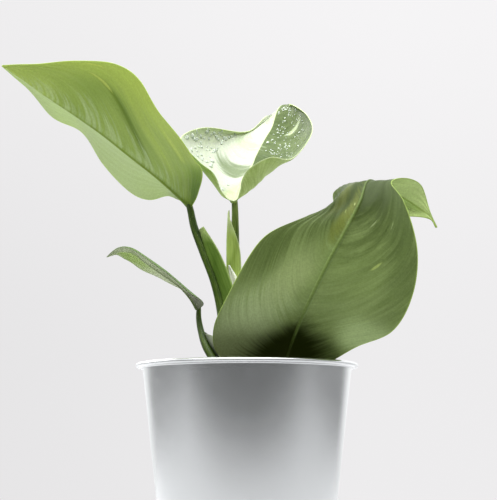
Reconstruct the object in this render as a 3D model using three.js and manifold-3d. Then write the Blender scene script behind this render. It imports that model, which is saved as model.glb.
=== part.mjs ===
// A potted aroid house plant: four heart-shaped leaves on sheathed petioles, standing in a
// tapered pot of satin sheet metal. Lengths are millimetres, +Z is up, and the origin is the
// centre of the pot's underside. Main view: from -Y, with +X to the right.
import * as THREE from "three";
import { mergeVertices } from "three/addons/utils/BufferGeometryUtils.js";
import Module from "manifold-3d";

// Gap kept between pieces that touch
const clearance = 0.3;

// Pot: spun sheet metal with a rolled rim
const potHeight = 120;
const rimRadius = 65;
const beadHeight = 3;
const beadWidth = 4;
const baseRadius = 48;
const baseEdge = 1.5;
const wallThickness = 0.9;
const potSides = 56;
const wallTopRadius = rimRadius - beadWidth;

// Soil: fills the pot to a little below the rim, gently mounded round the stem
const soilHeight = 105;
const soilMound = 2.5;
const soilSides = 40;

// Stem: the short stock that all petioles grow from
const stemRadius = 10;
const stemTop = 114;
const stemFoot = 84;
const stemPlace = [-6, 1];
const stemSides = 20;

// Petioles
const petioleSides = 10;
const petioleStep = 6;
const taperPower = 1.5;

// Sheets: blades, sheaths and the scale leaf
const bladeThickness = 0.8;
const sheathThickness = 0.8;
const differenceStep = 0.004;

const wasm = await Module();
wasm.setup();

// Solids

// A closed geometry as a solid that can be joined and cut.
function solidFrom(geometry) {
  const bare = geometry.index ? geometry.toNonIndexed() : geometry.clone();
  bare.deleteAttribute("normal");
  bare.deleteAttribute("uv");
  const merged = mergeVertices(bare, 1e-4);
  return new wasm.Manifold(
    new wasm.Mesh({
      numProp: 3,
      vertProperties: merged.attributes.position.array,
      triVerts: new Uint32Array(merged.index.array),
    }),
  );
}

// The largest body of a solid as a geometry; slivers that a cut leaves behind are dropped.
function geometryFrom(solid) {
  const bodies = solid.decompose();
  const largest = bodies.reduce((a, b) => (a.volume() > b.volume() ? a : b));
  const mesh = largest.getMesh();
  const geometry = new THREE.BufferGeometry();
  const positions = new Float32Array(mesh.vertProperties);
  geometry.setAttribute("position", new THREE.BufferAttribute(positions, 3));
  geometry.setIndex(new THREE.BufferAttribute(new Uint32Array(mesh.triVerts), 1));
  geometry.computeVertexNormals();
  return geometry;
}

function cut(solid, ...cutters) {
  return cutters.reduce((rest, cutter) => rest.subtract(cutter), solid);
}

// A body of revolution about +Z from [radius, height] pairs that start and end on the axis.
function turned(profile, sides) {
  const points = profile.map(([radius, height]) => new THREE.Vector2(radius, height));
  return new THREE.LatheGeometry(points, sides).rotateX(Math.PI / 2);
}

function curveThrough(points) {
  const vectors = points.map((point) => new THREE.Vector3(...point));
  return new THREE.CatmullRomCurve3(vectors, false, "catmullrom", 0.5);
}

// A round stalk along a route, from its thin top to its thick foot. It is extruded with a
// slim section, and each ring is then scaled about its own station to the local radius.
function stalk({ route, topRadius, footRadius }, grow = 0) {
  const curve = curveThrough(route);
  const steps = Math.ceil(curve.getLength() / petioleStep);
  const slim = 0.5;
  const section = new THREE.Shape().absarc(0, 0, slim, 0, 2 * Math.PI);
  const geometry = new THREE.ExtrudeGeometry(section, {
    steps,
    curveSegments: petioleSides / 2,
    bevelEnabled: false,
    extrudePath: curve,
  });
  const stations = curve.getSpacedPoints(steps);
  const position = geometry.attributes.position;
  const vertex = new THREE.Vector3();
  for (let i = 0; i < position.count; i++) {
    vertex.fromBufferAttribute(position, i);
    const distances = stations.map((station) => station.distanceTo(vertex));
    const nearest = distances.indexOf(Math.min(...distances));
    const above = (1 - nearest / steps) ** taperPower;
    const radius = footRadius - (footRadius - topRadius) * above + grow;
    vertex.sub(stations[nearest]).multiplyScalar(radius / slim).add(stations[nearest]);
    position.setXYZ(i, vertex.x, vertex.y, vertex.z);
  }
  return geometry;
}

// A leaf-like sheet. Three rails run from its base to its tip: the middle line and the two
// margins, left and right as seen on the upper face. A line across goes straight from the
// middle to a margin and is bent by the bow vector, which is largest half-way out.
class Sheet {
  constructor({ mid, left, right, leftBow, rightBow }) {
    this.mid = curveThrough(mid);
    this.margins = { left: curveThrough(left), right: curveThrough(right) };
    this.bows = { left: curveThrough(leftBow), right: curveThrough(rightBow) };
  }

  // The point at t along the sheet (0 base, 1 tip) and s across it (-1 left, 1 right).
  point(t, s) {
    const side = s < 0 ? "left" : "right";
    const out = Math.abs(s);
    const middle = this.mid.getPoint(t);
    const margin = this.margins[side].getPoint(t);
    const bow = this.bows[side].getPoint(t).multiplyScalar(4 * out * (1 - out));
    return middle.lerp(margin, out).add(bow);
  }

  // The unit normal of the upper face, by differences of the surface.
  normal(t, s) {
    const before = Math.max(t - differenceStep, 0);
    const after = Math.min(t + differenceStep, 1);
    const inner = Math.max(s - differenceStep, -1);
    const outer = Math.min(s + differenceStep, 1);
    const along = this.point(after, s).sub(this.point(before, s));
    const across = this.point(t, outer).sub(this.point(t, inner));
    return across.cross(along).normalize();
  }

  // Where the columns lie across a row: one on the middle, one at each foot of the rib, and
  // the rest spread evenly out to the margins.
  stationsAcross(t, columns, ribWidth) {
    const middle = this.mid.getPoint(t);
    const half = (side) => {
      const width = Math.max(this.margins[side].getPoint(t).distanceTo(middle), 0.1);
      const foot = Math.min(ribWidth / width, 0.4);
      const steps = [...Array(columns).keys()];
      return steps.map((k) => foot + ((1 - foot) * k) / (columns - 1));
    };
    return [...half("left").reverse().map((s) => -s), 0, ...half("right")];
  }

  // The closed body: both faces split into triangles alike, with an edge strip all round.
  // The lower face stands out along the middle as a rib that thins towards the tip.
  geometry({ rows, columns, thickness, ribWidth = 1, ribDepth = 0 }) {
    const perRow = 2 * columns + 1;
    const upper = [];
    const lower = [];
    for (let i = 0; i <= rows; i++) {
      const t = i / rows;
      this.stationsAcross(t, columns, ribWidth).forEach((s) => {
        const point = this.point(t, s);
        const normal = this.normal(t, s);
        const rib = s === 0 ? ribDepth * (1 - t) : 0;
        upper.push(point.clone().addScaledVector(normal, thickness / 2));
        lower.push(point.clone().addScaledVector(normal, -thickness / 2 - rib));
      });
    }
    const below = upper.length;
    const index = [];
    for (let i = 0; i < rows; i++) {
      for (let j = 0; j < perRow - 1; j++) {
        const a = i * perRow + j;
        const b = a + 1;
        const c = b + perRow;
        const d = a + perRow;
        index.push(a, b, c, a, c, d);
        index.push(below + a, below + c, below + b, below + a, below + d, below + c);
      }
    }
    const last = perRow - 1;
    const boundary = [
      ...Array.from({ length: last }, (_, j) => j),
      ...Array.from({ length: rows }, (_, i) => i * perRow + last),
      ...Array.from({ length: last }, (_, j) => rows * perRow + last - j),
      ...Array.from({ length: rows }, (_, i) => (rows - i) * perRow),
    ];
    boundary.forEach((p, k) => {
      const q = boundary[(k + 1) % boundary.length];
      index.push(q, p, below + p, q, below + p, below + q);
    });
    return new THREE.BufferGeometry().setFromPoints([...upper, ...lower]).setIndex(index);
  }
}

// Pot and soil

function potProfile() {
  const underBead = potHeight - beadHeight;
  const innerTop = wallTopRadius - wallThickness;
  const innerBase = baseRadius - wallThickness;
  return [
    [0, 0],
    [baseRadius - baseEdge, 0],
    [baseRadius, baseEdge],
    [wallTopRadius, underBead],
    [wallTopRadius + 0.7 * beadWidth, underBead],
    [rimRadius, underBead + 0.35 * beadHeight],
    [rimRadius, underBead + 0.65 * beadHeight],
    [rimRadius - 0.3 * beadWidth, potHeight],
    [innerTop + 0.8, potHeight],
    [innerTop, potHeight - 0.9],
    [innerBase, wallThickness + baseEdge],
    [innerBase - baseEdge, wallThickness],
    [0, wallThickness],
  ];
}

function soilProfile() {
  const wallSlope = (wallTopRadius - baseRadius) / (potHeight - beadHeight - baseEdge);
  const innerRadius = (height) =>
    baseRadius + wallSlope * (height - baseEdge) - wallThickness - clearance - 0.15;
  const floor = wallThickness + clearance;
  return [
    [0, floor],
    [innerRadius(floor) - 2 * baseEdge, floor],
    [innerRadius(floor + 2 * baseEdge), floor + 2 * baseEdge],
    [innerRadius(soilHeight - 1.5), soilHeight - 1.5],
    [0.85 * wallTopRadius, soilHeight],
    [0.5 * wallTopRadius, soilHeight + 0.7 * soilMound],
    [0, soilHeight + soilMound],
  ];
}

// Stem

function stemGeometry(grow = 0) {
  const profile = [
    [0, stemFoot - grow],
    [0.6 * stemRadius + grow, stemFoot - grow],
    [0.95 * stemRadius + grow, stemFoot + 12],
    [stemRadius + grow, stemTop - 7],
    [0.85 * stemRadius + grow, stemTop - 2],
    [0.5 * stemRadius + grow, stemTop + grow],
    [0, stemTop + grow],
  ];
  return turned(profile, stemSides).translate(...stemPlace, 0);
}

// Petioles, each from its blade down into the stem

const petioles = {
  petiole_upper_left: {
    route: [
      [-34.3, 1.5, 214],
      [-33.3, 2.5, 210],
      [-31, 3, 200],
      [-25.5, 3, 186],
      [-18.7, 3, 169],
      [-14.5, 3, 152],
      [-12.5, 3, 132],
      [-12, 3, 98],
    ],
    topRadius: 2,
    footRadius: 4.4,
  },
  petiole_centre: {
    route: [
      [-7.3, 0.8, 215.8],
      [-7.1, 1.8, 211],
      [-7, 4, 202],
      [-7, 7, 191],
      [-6.8, 9, 176],
      [-6.4, 9, 150],
      [-4, 8, 125],
      [-3, 7, 98],
    ],
    topRadius: 1.9,
    footRadius: 4.2,
  },
  petiole_low_left: {
    route: [
      [-28.5, 6, 154],
      [-28.5, 6, 147],
      [-27, 4, 139],
      [-24, 0, 130],
      [-17, -4, 117],
      [-13, -6, 98],
    ],
    topRadius: 1.4,
    footRadius: 3.2,
  },
  petiole_front: {
    route: [
      [24, -9, 122],
      [20, -6, 121],
      [12, -4, 119],
      [4, -4, 112],
      [1, -5, 98],
    ],
    topRadius: 2.4,
    footRadius: 4.2,
  },
};

// Leaf blades: rails in order from the petiole to the tip

const blades = {
  blade_upper_left: {
    petiole: "petiole_upper_left",
    rows: 26,
    columns: 6,
    ribDepth: 1.6,
    mid: [
      [-34, 2, 213],
      [-38, 1, 217],
      [-44.5, 0, 223],
      [-54.5, -2, 231.5],
      [-69.5, -4, 243],
      [-85.5, -5, 255.5],
      [-102, -6, 267],
      [-119, -5, 278.5],
      [-135.5, -3, 290.5],
      [-146.5, 0, 298],
    ],
    left: [
      [-32.5, 0, 213],
      [-28, -16, 219],
      [-26, -38, 228.5],
      [-32, -50, 236],
      [-47.5, -53, 256],
      [-61, -48, 278],
      [-77.5, -38, 291],
      [-99.5, -27, 294.5],
      [-125.5, -13, 296.5],
      [-146.5, -0.5, 298.5],
    ],
    right: [
      [-35.5, 4, 213],
      [-39.5, 10, 218],
      [-47.5, 26, 223],
      [-60, 40, 223.5],
      [-74.5, 48, 230],
      [-89.5, 48, 247.5],
      [-103.5, 42, 266],
      [-120.5, 30, 274.2],
      [-135.3, 14, 289.2],
      [-147, 0.5, 298],
    ],
    leftBow: [
      [0, 0, 0],
      [0, 0, 4],
      [0, 0, 0],
    ],
    rightBow: [
      [0, 0, 0],
      [0, 0, 4],
      [0, 0, 0],
    ],
  },
  blade_centre: {
    petiole: "petiole_centre",
    rows: 26,
    columns: 6,
    ribDepth: 1.4,
    mid: [
      [-8, -1.8, 215.6],
      [-5.8, 3, 223.5],
      [-2.5, 9, 231.5],
      [2.5, 18, 240],
      [5.5, 28, 249],
      [11, 40, 261.5],
      [15.5, 50, 271],
      [19, 58, 283],
      [23, 62, 287],
      [26.5, 66, 279.5],
    ],
    left: [
      [-11, -3, 216.5],
      [-15, -14, 220.5],
      [-20, -20, 230],
      [-28.5, -18, 237.5],
      [-38.5, -10, 248.5],
      [-37.5, 6, 258],
      [-25, 22, 265],
      [-0.5, 47, 267.5],
      [13.5, 60, 280.5],
      [26, 66, 279],
    ],
    right: [
      [-5.5, -3.5, 216.5],
      [-4, -12, 221],
      [-2.5, -20, 226.5],
      [3, -28, 232.5],
      [13.5, -32, 236.5],
      [26.5, -24, 238],
      [39, 4, 257.5],
      [36.5, 26, 273.5],
      [27.5, 47, 284.5],
      [26.5, 66, 279],
    ],
    leftBow: [
      [0, 0, 0],
      [-3, 4, -3],
      [-6, 5, -6],
      [-6, 6, -7],
      [-4, 7, -7],
      [-3, 8, -6],
      [-2, 7, -5],
      [-1, 4, -2.5],
      [0, 1, -1],
      [0, 0, 0],
    ],
    rightBow: [
      [0, 0, 0],
      [4, 2, -2],
      [8.5, 1, -3.6],
      [8.5, 1, -5.4],
      [8.5, 2, -5.8],
      [5, 3, -4],
      [3, 4, -2.5],
      [2, 2, 1],
      [0.5, 1, 0.5],
      [0, 0, 0],
    ],
  },
  blade_front: {
    petiole: "petiole_front",
    rows: 33,
    columns: 6,
    ribDepth: 2,
    mid: [
      [22.5, -8, 121.5],
      [25, -24, 129.5],
      [30, -42, 142],
      [37.5, -53, 157.5],
      [46.5, -57, 175.5],
      [55.5, -57, 192],
      [63.5, -52, 208],
      [69.5, -38, 222],
      [82, -22, 219.5],
      [94, -16, 214],
      [106, -13, 206],
      [111, -11, 199],
    ],
    left: [
      [25.5, -8.5, 121],
      [41, -18, 117.5],
      [62, -30, 127],
      [82, -42, 136],
      [93, -49, 155.5],
      [95.5, -52, 180],
      [89, -48, 208],
      [82.5, -42, 220.5],
      [95, -28, 224.5],
      [102, -20, 221.5],
      [107, -14, 208],
      [111.5, -11, 199],
    ],
    right: [
      [19.5, -8, 121],
      [3, -12, 116.5],
      [-16, -24, 123.5],
      [-19, -38, 136.5],
      [-11.5, -50, 154],
      [8.5, -58, 186],
      [33.5, -55, 198.5],
      [47.5, -45, 204.5],
      [52, -31, 216.5],
      [80.5, -17, 205.5],
      [104.5, -14, 204],
      [110.5, -11, 198.5],
    ],
    leftBow: [
      [0, 0, 0],
      [0, 0, 0],
    ],
    rightBow: [
      [0, 0, 0],
      [0, 0, 0],
      [0, 0, 0],
      [0, 0, 0],
      [0, 0, 0],
      [0, 0, 1],
      [0, 0, 0],
      [-3, -5, 2.5],
      [-3, 2, 4.5],
      [0, 4, 2],
      [0, 0, 0],
      [0, 0, 0],
    ],
  },
  blade_low_left: {
    petiole: "petiole_low_left",
    rows: 18,
    columns: 5,
    ribDepth: 1,
    mid: [
      [-29.5, 6, 152.5],
      [-33.5, 4, 159],
      [-40, 2, 166],
      [-49.5, 0, 172.6],
      [-59, -2, 179],
      [-67.5, -2, 185],
      [-76, 0, 186],
      [-83, 2, 183],
    ],
    left: [
      [-28, 4.5, 152.5],
      [-25.5, -6, 155],
      [-33, -16, 160],
      [-48, -22, 172],
      [-58.5, -22, 179.4],
      [-67.5, -16, 185.6],
      [-76, -8, 187],
      [-83, 1.5, 183],
    ],
    right: [
      [-30.5, 8, 153],
      [-34, 16, 159.5],
      [-40.5, 24, 166.5],
      [-52.5, 28, 173],
      [-64.5, 26, 178.8],
      [-72.5, 18, 183.4],
      [-78, 10, 185.2],
      [-83, 2.5, 183],
    ],
    leftBow: [
      [0, 0, 0],
      [0, 0, 2],
      [0, 0, 0],
    ],
    rightBow: [
      [0, 0, 0],
      [0, 0, 2],
      [0, 0, 0],
    ],
  },
};

// Sheaths: channels along the inner side of a petiole, open towards the younger leaf, and one
// thin scale leaf that stands free on the stem

const sheaths = {
  sheath_upper_left: {
    rows: 14,
    columns: 3,
    mid: [
      [-11, -2.8, 113],
      [-12, -2, 127],
      [-13.2, -1.4, 153],
      [-17.6, -1, 169.5],
      [-24, 0.2, 186],
      [-28, 1, 199.5],
    ],
    left: [
      [-8, 1.2, 113],
      [-8.6, 2, 127],
      [-10.8, 3.2, 153],
      [-14, 6.2, 170],
      [-21, 8, 187],
      [-26.5, 4, 200.5],
    ],
    right: [
      [-3, -6, 113],
      [-4, -6.5, 127],
      [-5, -5, 152],
      [-9.5, -5, 169],
      [-16.5, -4, 186],
      [-25.6, 0, 201],
    ],
    leftBow: [
      [2, -1, 0],
      [2, -1, 0],
      [2, -1, 0],
      [1.8, -0.5, 0],
      [1, -1, 0],
      [0, -1, 0],
    ],
    rightBow: [
      [0, -1.5, 0],
      [0, -0.5, 0],
    ],
  },
  sheath_centre: {
    rows: 14,
    columns: 3,
    mid: [
      [-8.5, 4.2, 118],
      [-9.2, 5, 135],
      [-9.6, 5.2, 157.5],
      [-9.9, 4.8, 175.5],
      [-9.9, 3.4, 190.5],
      [-9.7, 0, 204],
    ],
    left: [
      [-10.5, 9, 118],
      [-11.3, 9.5, 135],
      [-11.6, 9.5, 158.5],
      [-11.6, 9, 176.5],
      [-11.6, 7.5, 193.5],
      [-10.5, 1, 211],
    ],
    right: [
      [-2.5, 3.2, 118],
      [-2, 5, 135],
      [-2.7, 6.9, 157.5],
      [-3.3, 7.4, 175],
      [-4.5, 4.6, 189.5],
      [-9, -0.8, 202.5],
    ],
    leftBow: [
      [-1, -0.5, 0],
      [-1, -0.5, 0],
    ],
    rightBow: [
      [0, -1.8, 0],
      [0, -1.8, 0],
      [0.3, -1.8, 0],
      [0.3, -1.6, 0],
      [0.3, -1.4, 0],
      [0, -0.5, 0],
    ],
  },
  sheath_low_left: {
    rows: 6,
    columns: 3,
    mid: [
      [-11, -8, 108],
      [-14, -6, 117],
      [-21, -2, 130],
      [-24.5, 1.5, 137.5],
    ],
    left: [
      [-9, -3, 108],
      [-14.5, -1, 118],
      [-22, 4, 130.5],
      [-25, 5, 139],
    ],
    right: [
      [-8, -12, 108],
      [-11, -11, 116],
      [-17, -8, 126],
      [-20, -4, 136],
    ],
    leftBow: [
      [0.5, 0.5, 0],
      [0.5, 0.5, 0],
    ],
    rightBow: [
      [0, -1.5, 0],
      [0, -0.5, 0],
    ],
  },
  scale_leaf: {
    rows: 10,
    columns: 2,
    mid: [
      [-3.5, -1, 112],
      [-5, 0, 135],
      [-6, 0, 157.5],
      [-8, 0, 168.5],
      [-10.5, 0, 178],
    ],
    left: [
      [-5, 0, 112],
      [-6.5, 1, 135],
      [-7.5, 1, 157.5],
      [-10, 1, 168.5],
      [-11, 0.5, 177.5],
    ],
    right: [
      [-2, -2, 112],
      [-2.5, -1.5, 135],
      [-3.5, -1, 157.5],
      [-5.5, -1, 169.5],
      [-10, 0, 177.5],
    ],
    leftBow: [
      [0, -0.5, 0],
      [0, -0.5, 0],
    ],
    rightBow: [
      [0, -1, 0],
      [0, -1, 0],
    ],
  },
};

// Materials

const satinMetal = { color: 0xb4b9bb, roughness: 0.35, metalness: 1 };
const pottingSoil = { color: 0x2f231a, roughness: 0.95, metalness: 0 };
const stemSkin = { color: 0x5c6a35, roughness: 0.7, metalness: 0 };
const petioleGreen = { color: 0x466b2b, roughness: 0.5, metalness: 0 };
const sheathGreen = { color: 0x83a246, roughness: 0.5, metalness: 0 };
const drySheath = { color: 0xd9dcc4, roughness: 0.6, metalness: 0 };
const bladeColours = {
  blade_upper_left: 0x6f9448,
  blade_centre: 0xc3d3a4,
  blade_front: 0x5d7b43,
  blade_low_left: 0x81996a,
};

// The assembly

const root = new THREE.Group();
const plant = new THREE.Group();
root.add(plant);

function place(group, name, geometry, look) {
  const material = new THREE.MeshStandardMaterial(look);
  const mesh = new THREE.Mesh(geometry, material);
  mesh.name = name;
  group.add(mesh);
}

const grownPetioles = Object.fromEntries(
  Object.entries(petioles).map(([name, form]) => [name, solidFrom(stalk(form, clearance))]),
);
const grownStem = solidFrom(stemGeometry(clearance));
const stalkHoles = Object.values(grownPetioles);

place(root, "pot", turned(potProfile(), potSides), satinMetal);

const soil = cut(solidFrom(turned(soilProfile(), soilSides)), grownStem, ...stalkHoles);
place(root, "soil", geometryFrom(soil), pottingSoil);

const stem = cut(solidFrom(stemGeometry()), ...stalkHoles);
place(plant, "stem", geometryFrom(stem), stemSkin);

for (const [name, form] of Object.entries(petioles)) {
  place(plant, name, stalk(form), petioleGreen);
}

for (const [name, form] of Object.entries(blades)) {
  const { rows, columns, ribDepth, petiole } = form;
  const shape = { rows, columns, thickness: bladeThickness, ribWidth: 1.6, ribDepth };
  const blade = cut(solidFrom(new Sheet(form).geometry(shape)), grownPetioles[petiole]);
  const look = { color: bladeColours[name], roughness: 0.45, metalness: 0 };
  place(plant, name, geometryFrom(blade), look);
}

for (const [name, form] of Object.entries(sheaths)) {
  const { rows, columns } = form;
  const shape = { rows, columns, thickness: sheathThickness };
  const sheath = cut(solidFrom(new Sheet(form).geometry(shape)), grownStem, ...stalkHoles);
  const look = name === "scale_leaf" ? drySheath : sheathGreen;
  place(plant, name, geometryFrom(sheath), look);
}

export default root;
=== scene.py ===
"""A potted aroid house plant: four heart-shaped leaves in a tapered pot of satin sheet metal.

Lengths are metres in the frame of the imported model: +Z is up, the origin is the centre of
the pot's underside, and the main view is from -Y with +X to the right.
"""

import logging
from dataclasses import dataclass, field
from enum import Enum
from math import pi, radians, tau
from typing import Any

import bpy
import numpy as np
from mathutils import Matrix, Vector


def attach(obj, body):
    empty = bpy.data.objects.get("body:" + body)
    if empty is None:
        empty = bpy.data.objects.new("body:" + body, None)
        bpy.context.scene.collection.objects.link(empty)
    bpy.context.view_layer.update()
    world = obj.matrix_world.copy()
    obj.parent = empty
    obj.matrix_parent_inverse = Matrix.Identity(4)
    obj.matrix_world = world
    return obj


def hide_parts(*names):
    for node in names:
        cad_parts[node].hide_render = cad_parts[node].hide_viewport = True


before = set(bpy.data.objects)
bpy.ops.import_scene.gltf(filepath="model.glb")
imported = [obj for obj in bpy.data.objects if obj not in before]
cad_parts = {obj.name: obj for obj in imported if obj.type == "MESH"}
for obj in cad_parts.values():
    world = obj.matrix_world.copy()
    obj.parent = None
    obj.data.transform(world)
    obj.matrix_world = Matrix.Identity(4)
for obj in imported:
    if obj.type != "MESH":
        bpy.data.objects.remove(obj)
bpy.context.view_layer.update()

log = logging.getLogger("potted_plant")

Point = tuple[float, float, float]
Rail = tuple[Point, ...]
Colour = tuple[float, float, float]
Array = np.ndarray

ROOT = "root"


# Curves and meshes


def catmull_rom(points: Rail, t: Array) -> Array:
    """Places on the smooth curve through a row of points.

    The points lie at equal steps of t from 0 to 1. Each span is a cubic whose end slopes
    are half the difference of the neighbours on either side; past each end the row is
    carried on by the mirror image of its last step.

    Args:
        points: The points of the curve, in order.
        t: Any array of values from 0 to 1.

    Returns:
        An array of the shape of t with a last axis of x, y and z.
    """
    row = np.asarray(points, dtype=float)
    row = np.vstack([2 * row[0] - row[1], row, 2 * row[-1] - row[-2]])
    place = np.clip(t, 0.0, 1.0) * (len(points) - 1)
    span = np.minimum(place.astype(int), len(points) - 2)
    u = (place - span)[..., None]
    before, start, end, after = (row[span + k] for k in range(4))
    slope_in = (end - before) / 2
    slope_out = (after - start) / 2
    cubic = 2 * start - 2 * end + slope_in + slope_out
    square = 3 * end - 3 * start - 2 * slope_in - slope_out
    return start + slope_in * u + square * u**2 + cubic * u**3


def unit(vectors: Array) -> Array:
    """The same directions at length one."""
    return vectors / np.maximum(np.linalg.norm(vectors, axis=-1, keepdims=True), 1e-12)


def smooth_step(low: float, high: float, value: Array) -> Array:
    """0 below low, 1 above high, and 3u^2 - 2u^3 between them."""
    u = np.clip((value - low) / (high - low), 0.0, 1.0)
    return u * u * (3 - 2 * u)


def make_mesh(
    name: str, vertices: Array, quads: Array, triangles: Array, values: dict[str, Array]
) -> bpy.types.Object:
    """Puts arrays into a smooth mesh object at the origin and links it to the scene.

    Args:
        name: The piece's name.
        vertices: Places, one row each.
        quads: Four vertex numbers a row.
        triangles: Three vertex numbers a row.
        values: One number a vertex for each attribute that the finish reads.

    Returns:
        The new object.
    """
    mesh = bpy.data.meshes.new(name)
    corners = np.concatenate([quads.ravel(), triangles.ravel()]).astype(np.int32)
    quad_starts = np.arange(len(quads)) * 4
    triangle_starts = quads.size + np.arange(len(triangles)) * 3
    starts = np.concatenate([quad_starts, triangle_starts]).astype(np.int32)
    mesh.vertices.add(len(vertices))
    mesh.vertices.foreach_set("co", vertices.astype(np.float32).ravel())
    mesh.loops.add(len(corners))
    mesh.loops.foreach_set("vertex_index", corners)
    mesh.polygons.add(len(starts))
    mesh.polygons.foreach_set("loop_start", starts)
    mesh.polygons.foreach_set("use_smooth", np.ones(len(starts), dtype=bool))
    mesh.update(calc_edges=True)
    for label, numbers in values.items():
        layer = mesh.attributes.new(label, "FLOAT", "POINT")
        layer.data.foreach_set("value", numbers.astype(np.float32).ravel())
    piece = bpy.data.objects.new(name, mesh)
    bpy.context.scene.collection.objects.link(piece)
    return piece


def loft(name: str, rings: Array, values: dict[str, Array] | None = None) -> bpy.types.Object:
    """A closed body through rings of points, each end closed by a fan to its middle.

    Quad (i, j) joins points j and j + 1 of rings i and i + 1, and the last point of a ring
    meets its first. The faces are turned over if the volume that they enclose, a sixth of
    the sum of the corners' triple products, comes out negative.

    Args:
        name: The piece's name.
        rings: Places, as rings by points of a ring by x, y, z.
        values: Attribute numbers, as rings by points of a ring.

    Returns:
        The new object.
    """
    count, sides, _ = rings.shape
    index = np.arange(count * sides).reshape(count, sides)
    after = np.roll(index, -1, axis=1)
    quads = np.stack([index[:-1], after[:-1], after[1:], index[1:]], axis=-1).reshape(-1, 4)
    first = np.full(sides, count * sides)
    fans = [
        np.stack([first, after[0], index[0]], axis=-1),
        np.stack([first + 1, index[-1], after[-1]], axis=-1),
    ]
    triangles = np.concatenate(fans)
    vertices = np.concatenate([rings.reshape(-1, 3), rings[:1].mean(1), rings[-1:].mean(1)])
    thirds = np.concatenate([triangles, quads[:, [0, 1, 2]], quads[:, [0, 2, 3]]])
    a, b, c = (vertices[thirds[:, k]] for k in range(3))
    volume = np.sum(a * np.cross(b, c))
    if volume < 0:
        quads = quads[:, ::-1]
        triangles = triangles[:, ::-1]
    numbers = {
        label: np.concatenate([grid.ravel(), [grid[0].mean(), grid[-1].mean()]])
        for label, grid in (values or {}).items()
    }
    return make_mesh(name, vertices, quads, triangles, numbers)


def scatter(
    name: str, shape: Array, faces: Array, centres: Array, axes: Array, sizes: Array
) -> bpy.types.Object:
    """Many copies of one small shape as one piece.

    A corner of a copy lies at its centre plus the shape's corner, stretched by the copy's
    sizes and turned into the copy's axes.

    Args:
        name: The piece's name.
        shape: The small shape's corners, one set for all copies or one for each.
        faces: Its triangles.
        centres: One place a copy.
        axes: Three unit vectors a copy, as rows.
        sizes: Three lengths a copy.

    Returns:
        The new object.
    """
    stretched = shape * sizes[:, None, :]
    corners = centres[:, None, :] + np.einsum("nvk,nkc->nvc", stretched, axes)
    offset = np.arange(len(centres))[:, None, None] * shape.shape[-2]
    triangles = (faces[None] + offset).reshape(-1, 3)
    tint = np.repeat(np.linspace(0, 1, len(centres)), shape.shape[-2])
    none = np.zeros((0, 4), dtype=int)
    return make_mesh(name, corners.reshape(-1, 3), none, triangles, {"tint": tint})


def ball(columns: int, rows: int) -> tuple[Array, Array]:
    """A unit ball's corners and triangles.

    Args:
        columns: Corners round each ring.
        rows: Rings between the poles.

    Returns:
        The corners and the triangles, which face outwards.
    """
    polar = (np.arange(rows) + 1) * pi / (rows + 1)
    turn = np.arange(columns) * tau / columns
    height, round_ = np.meshgrid(polar, turn, indexing="ij")
    x = np.sin(height) * np.cos(round_)
    y = np.sin(height) * np.sin(round_)
    rings = np.stack([x, y, np.cos(height)], axis=-1).reshape(-1, 3)
    corners = np.concatenate([rings, [[0, 0, 1], [0, 0, -1]]])
    index = np.arange(rows * columns).reshape(rows, columns)
    after = np.roll(index, -1, axis=1)
    upper, lower = rows * columns, rows * columns + 1
    top = np.stack([np.full(columns, upper), index[0], after[0]], axis=-1)
    bottom = np.stack([np.full(columns, lower), after[-1], index[-1]], axis=-1)
    halves = [
        np.stack([index[:-1], index[1:], after[1:]], axis=-1).reshape(-1, 3),
        np.stack([index[:-1], after[1:], after[:-1]], axis=-1).reshape(-1, 3),
    ]
    return corners, np.concatenate([top, *halves, bottom])


def rings_about(
    radius: Array, turn: Array, height: Any, x: float = 0.0, y: float = 0.0
) -> Array:
    """Rings round an upright axis: each point is (x + r cos a, y + r sin a, height).

    Args:
        radius: r, as rings by points of a ring, or one column for round rings.
        turn: The angle a of each point of a ring.
        height: The height of each point, or of each ring as a column, or of all.
        x: How far to the right the axis stands.
        y: How far back it stands.

    Returns:
        Places, as rings by points of a ring by x, y and z.
    """
    parts = (x + radius * np.cos(turn), y + radius * np.sin(turn), height)
    return np.stack(np.broadcast_arrays(*parts), axis=-1)


def stalk_values(
    turn: Array, along: Array, ridge: Array, shape: tuple[int, ...]
) -> dict[str, Array]:
    """The numbers that a stalk's finish reads.

    Args:
        turn: The angle of each point of a ring.
        along: The distance along the stalk.
        ridge: How far a point lies on a ridge, from 0 to 1.
        shape: Rings by points of a ring.

    Returns:
        A grid of that shape for each attribute.
    """
    numbers = {"turn_x": np.cos(turn), "turn_y": np.sin(turn), "along": along, "ridge": ridge}
    return {label: np.broadcast_to(value, shape) for label, value in numbers.items()}


def dress(piece: bpy.types.Object, material: bpy.types.Material, slot: str, *nodes: str) -> None:
    """Gives a piece its finish, hangs it on the plant's body and hides the parts that it stands
    for.

    Args:
        piece: The new piece.
        material: Its finish.
        slot: Not used.
        nodes: The nodes that the piece stands for.
    """
    piece.data.materials.append(material)
    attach(piece, ROOT)
    if nodes:
        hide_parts(*nodes)
    log.info("%s: %d faces", piece.name, len(piece.data.polygons))


# Finishes


class Sum(Enum):
    """The sums that the finishes work out."""

    ADD = "ADD"
    LESS = "SUBTRACT"
    TIMES = "MULTIPLY"
    OVER = "DIVIDE"
    POWER = "POWER"
    ZIGZAG = "PINGPONG"


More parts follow.
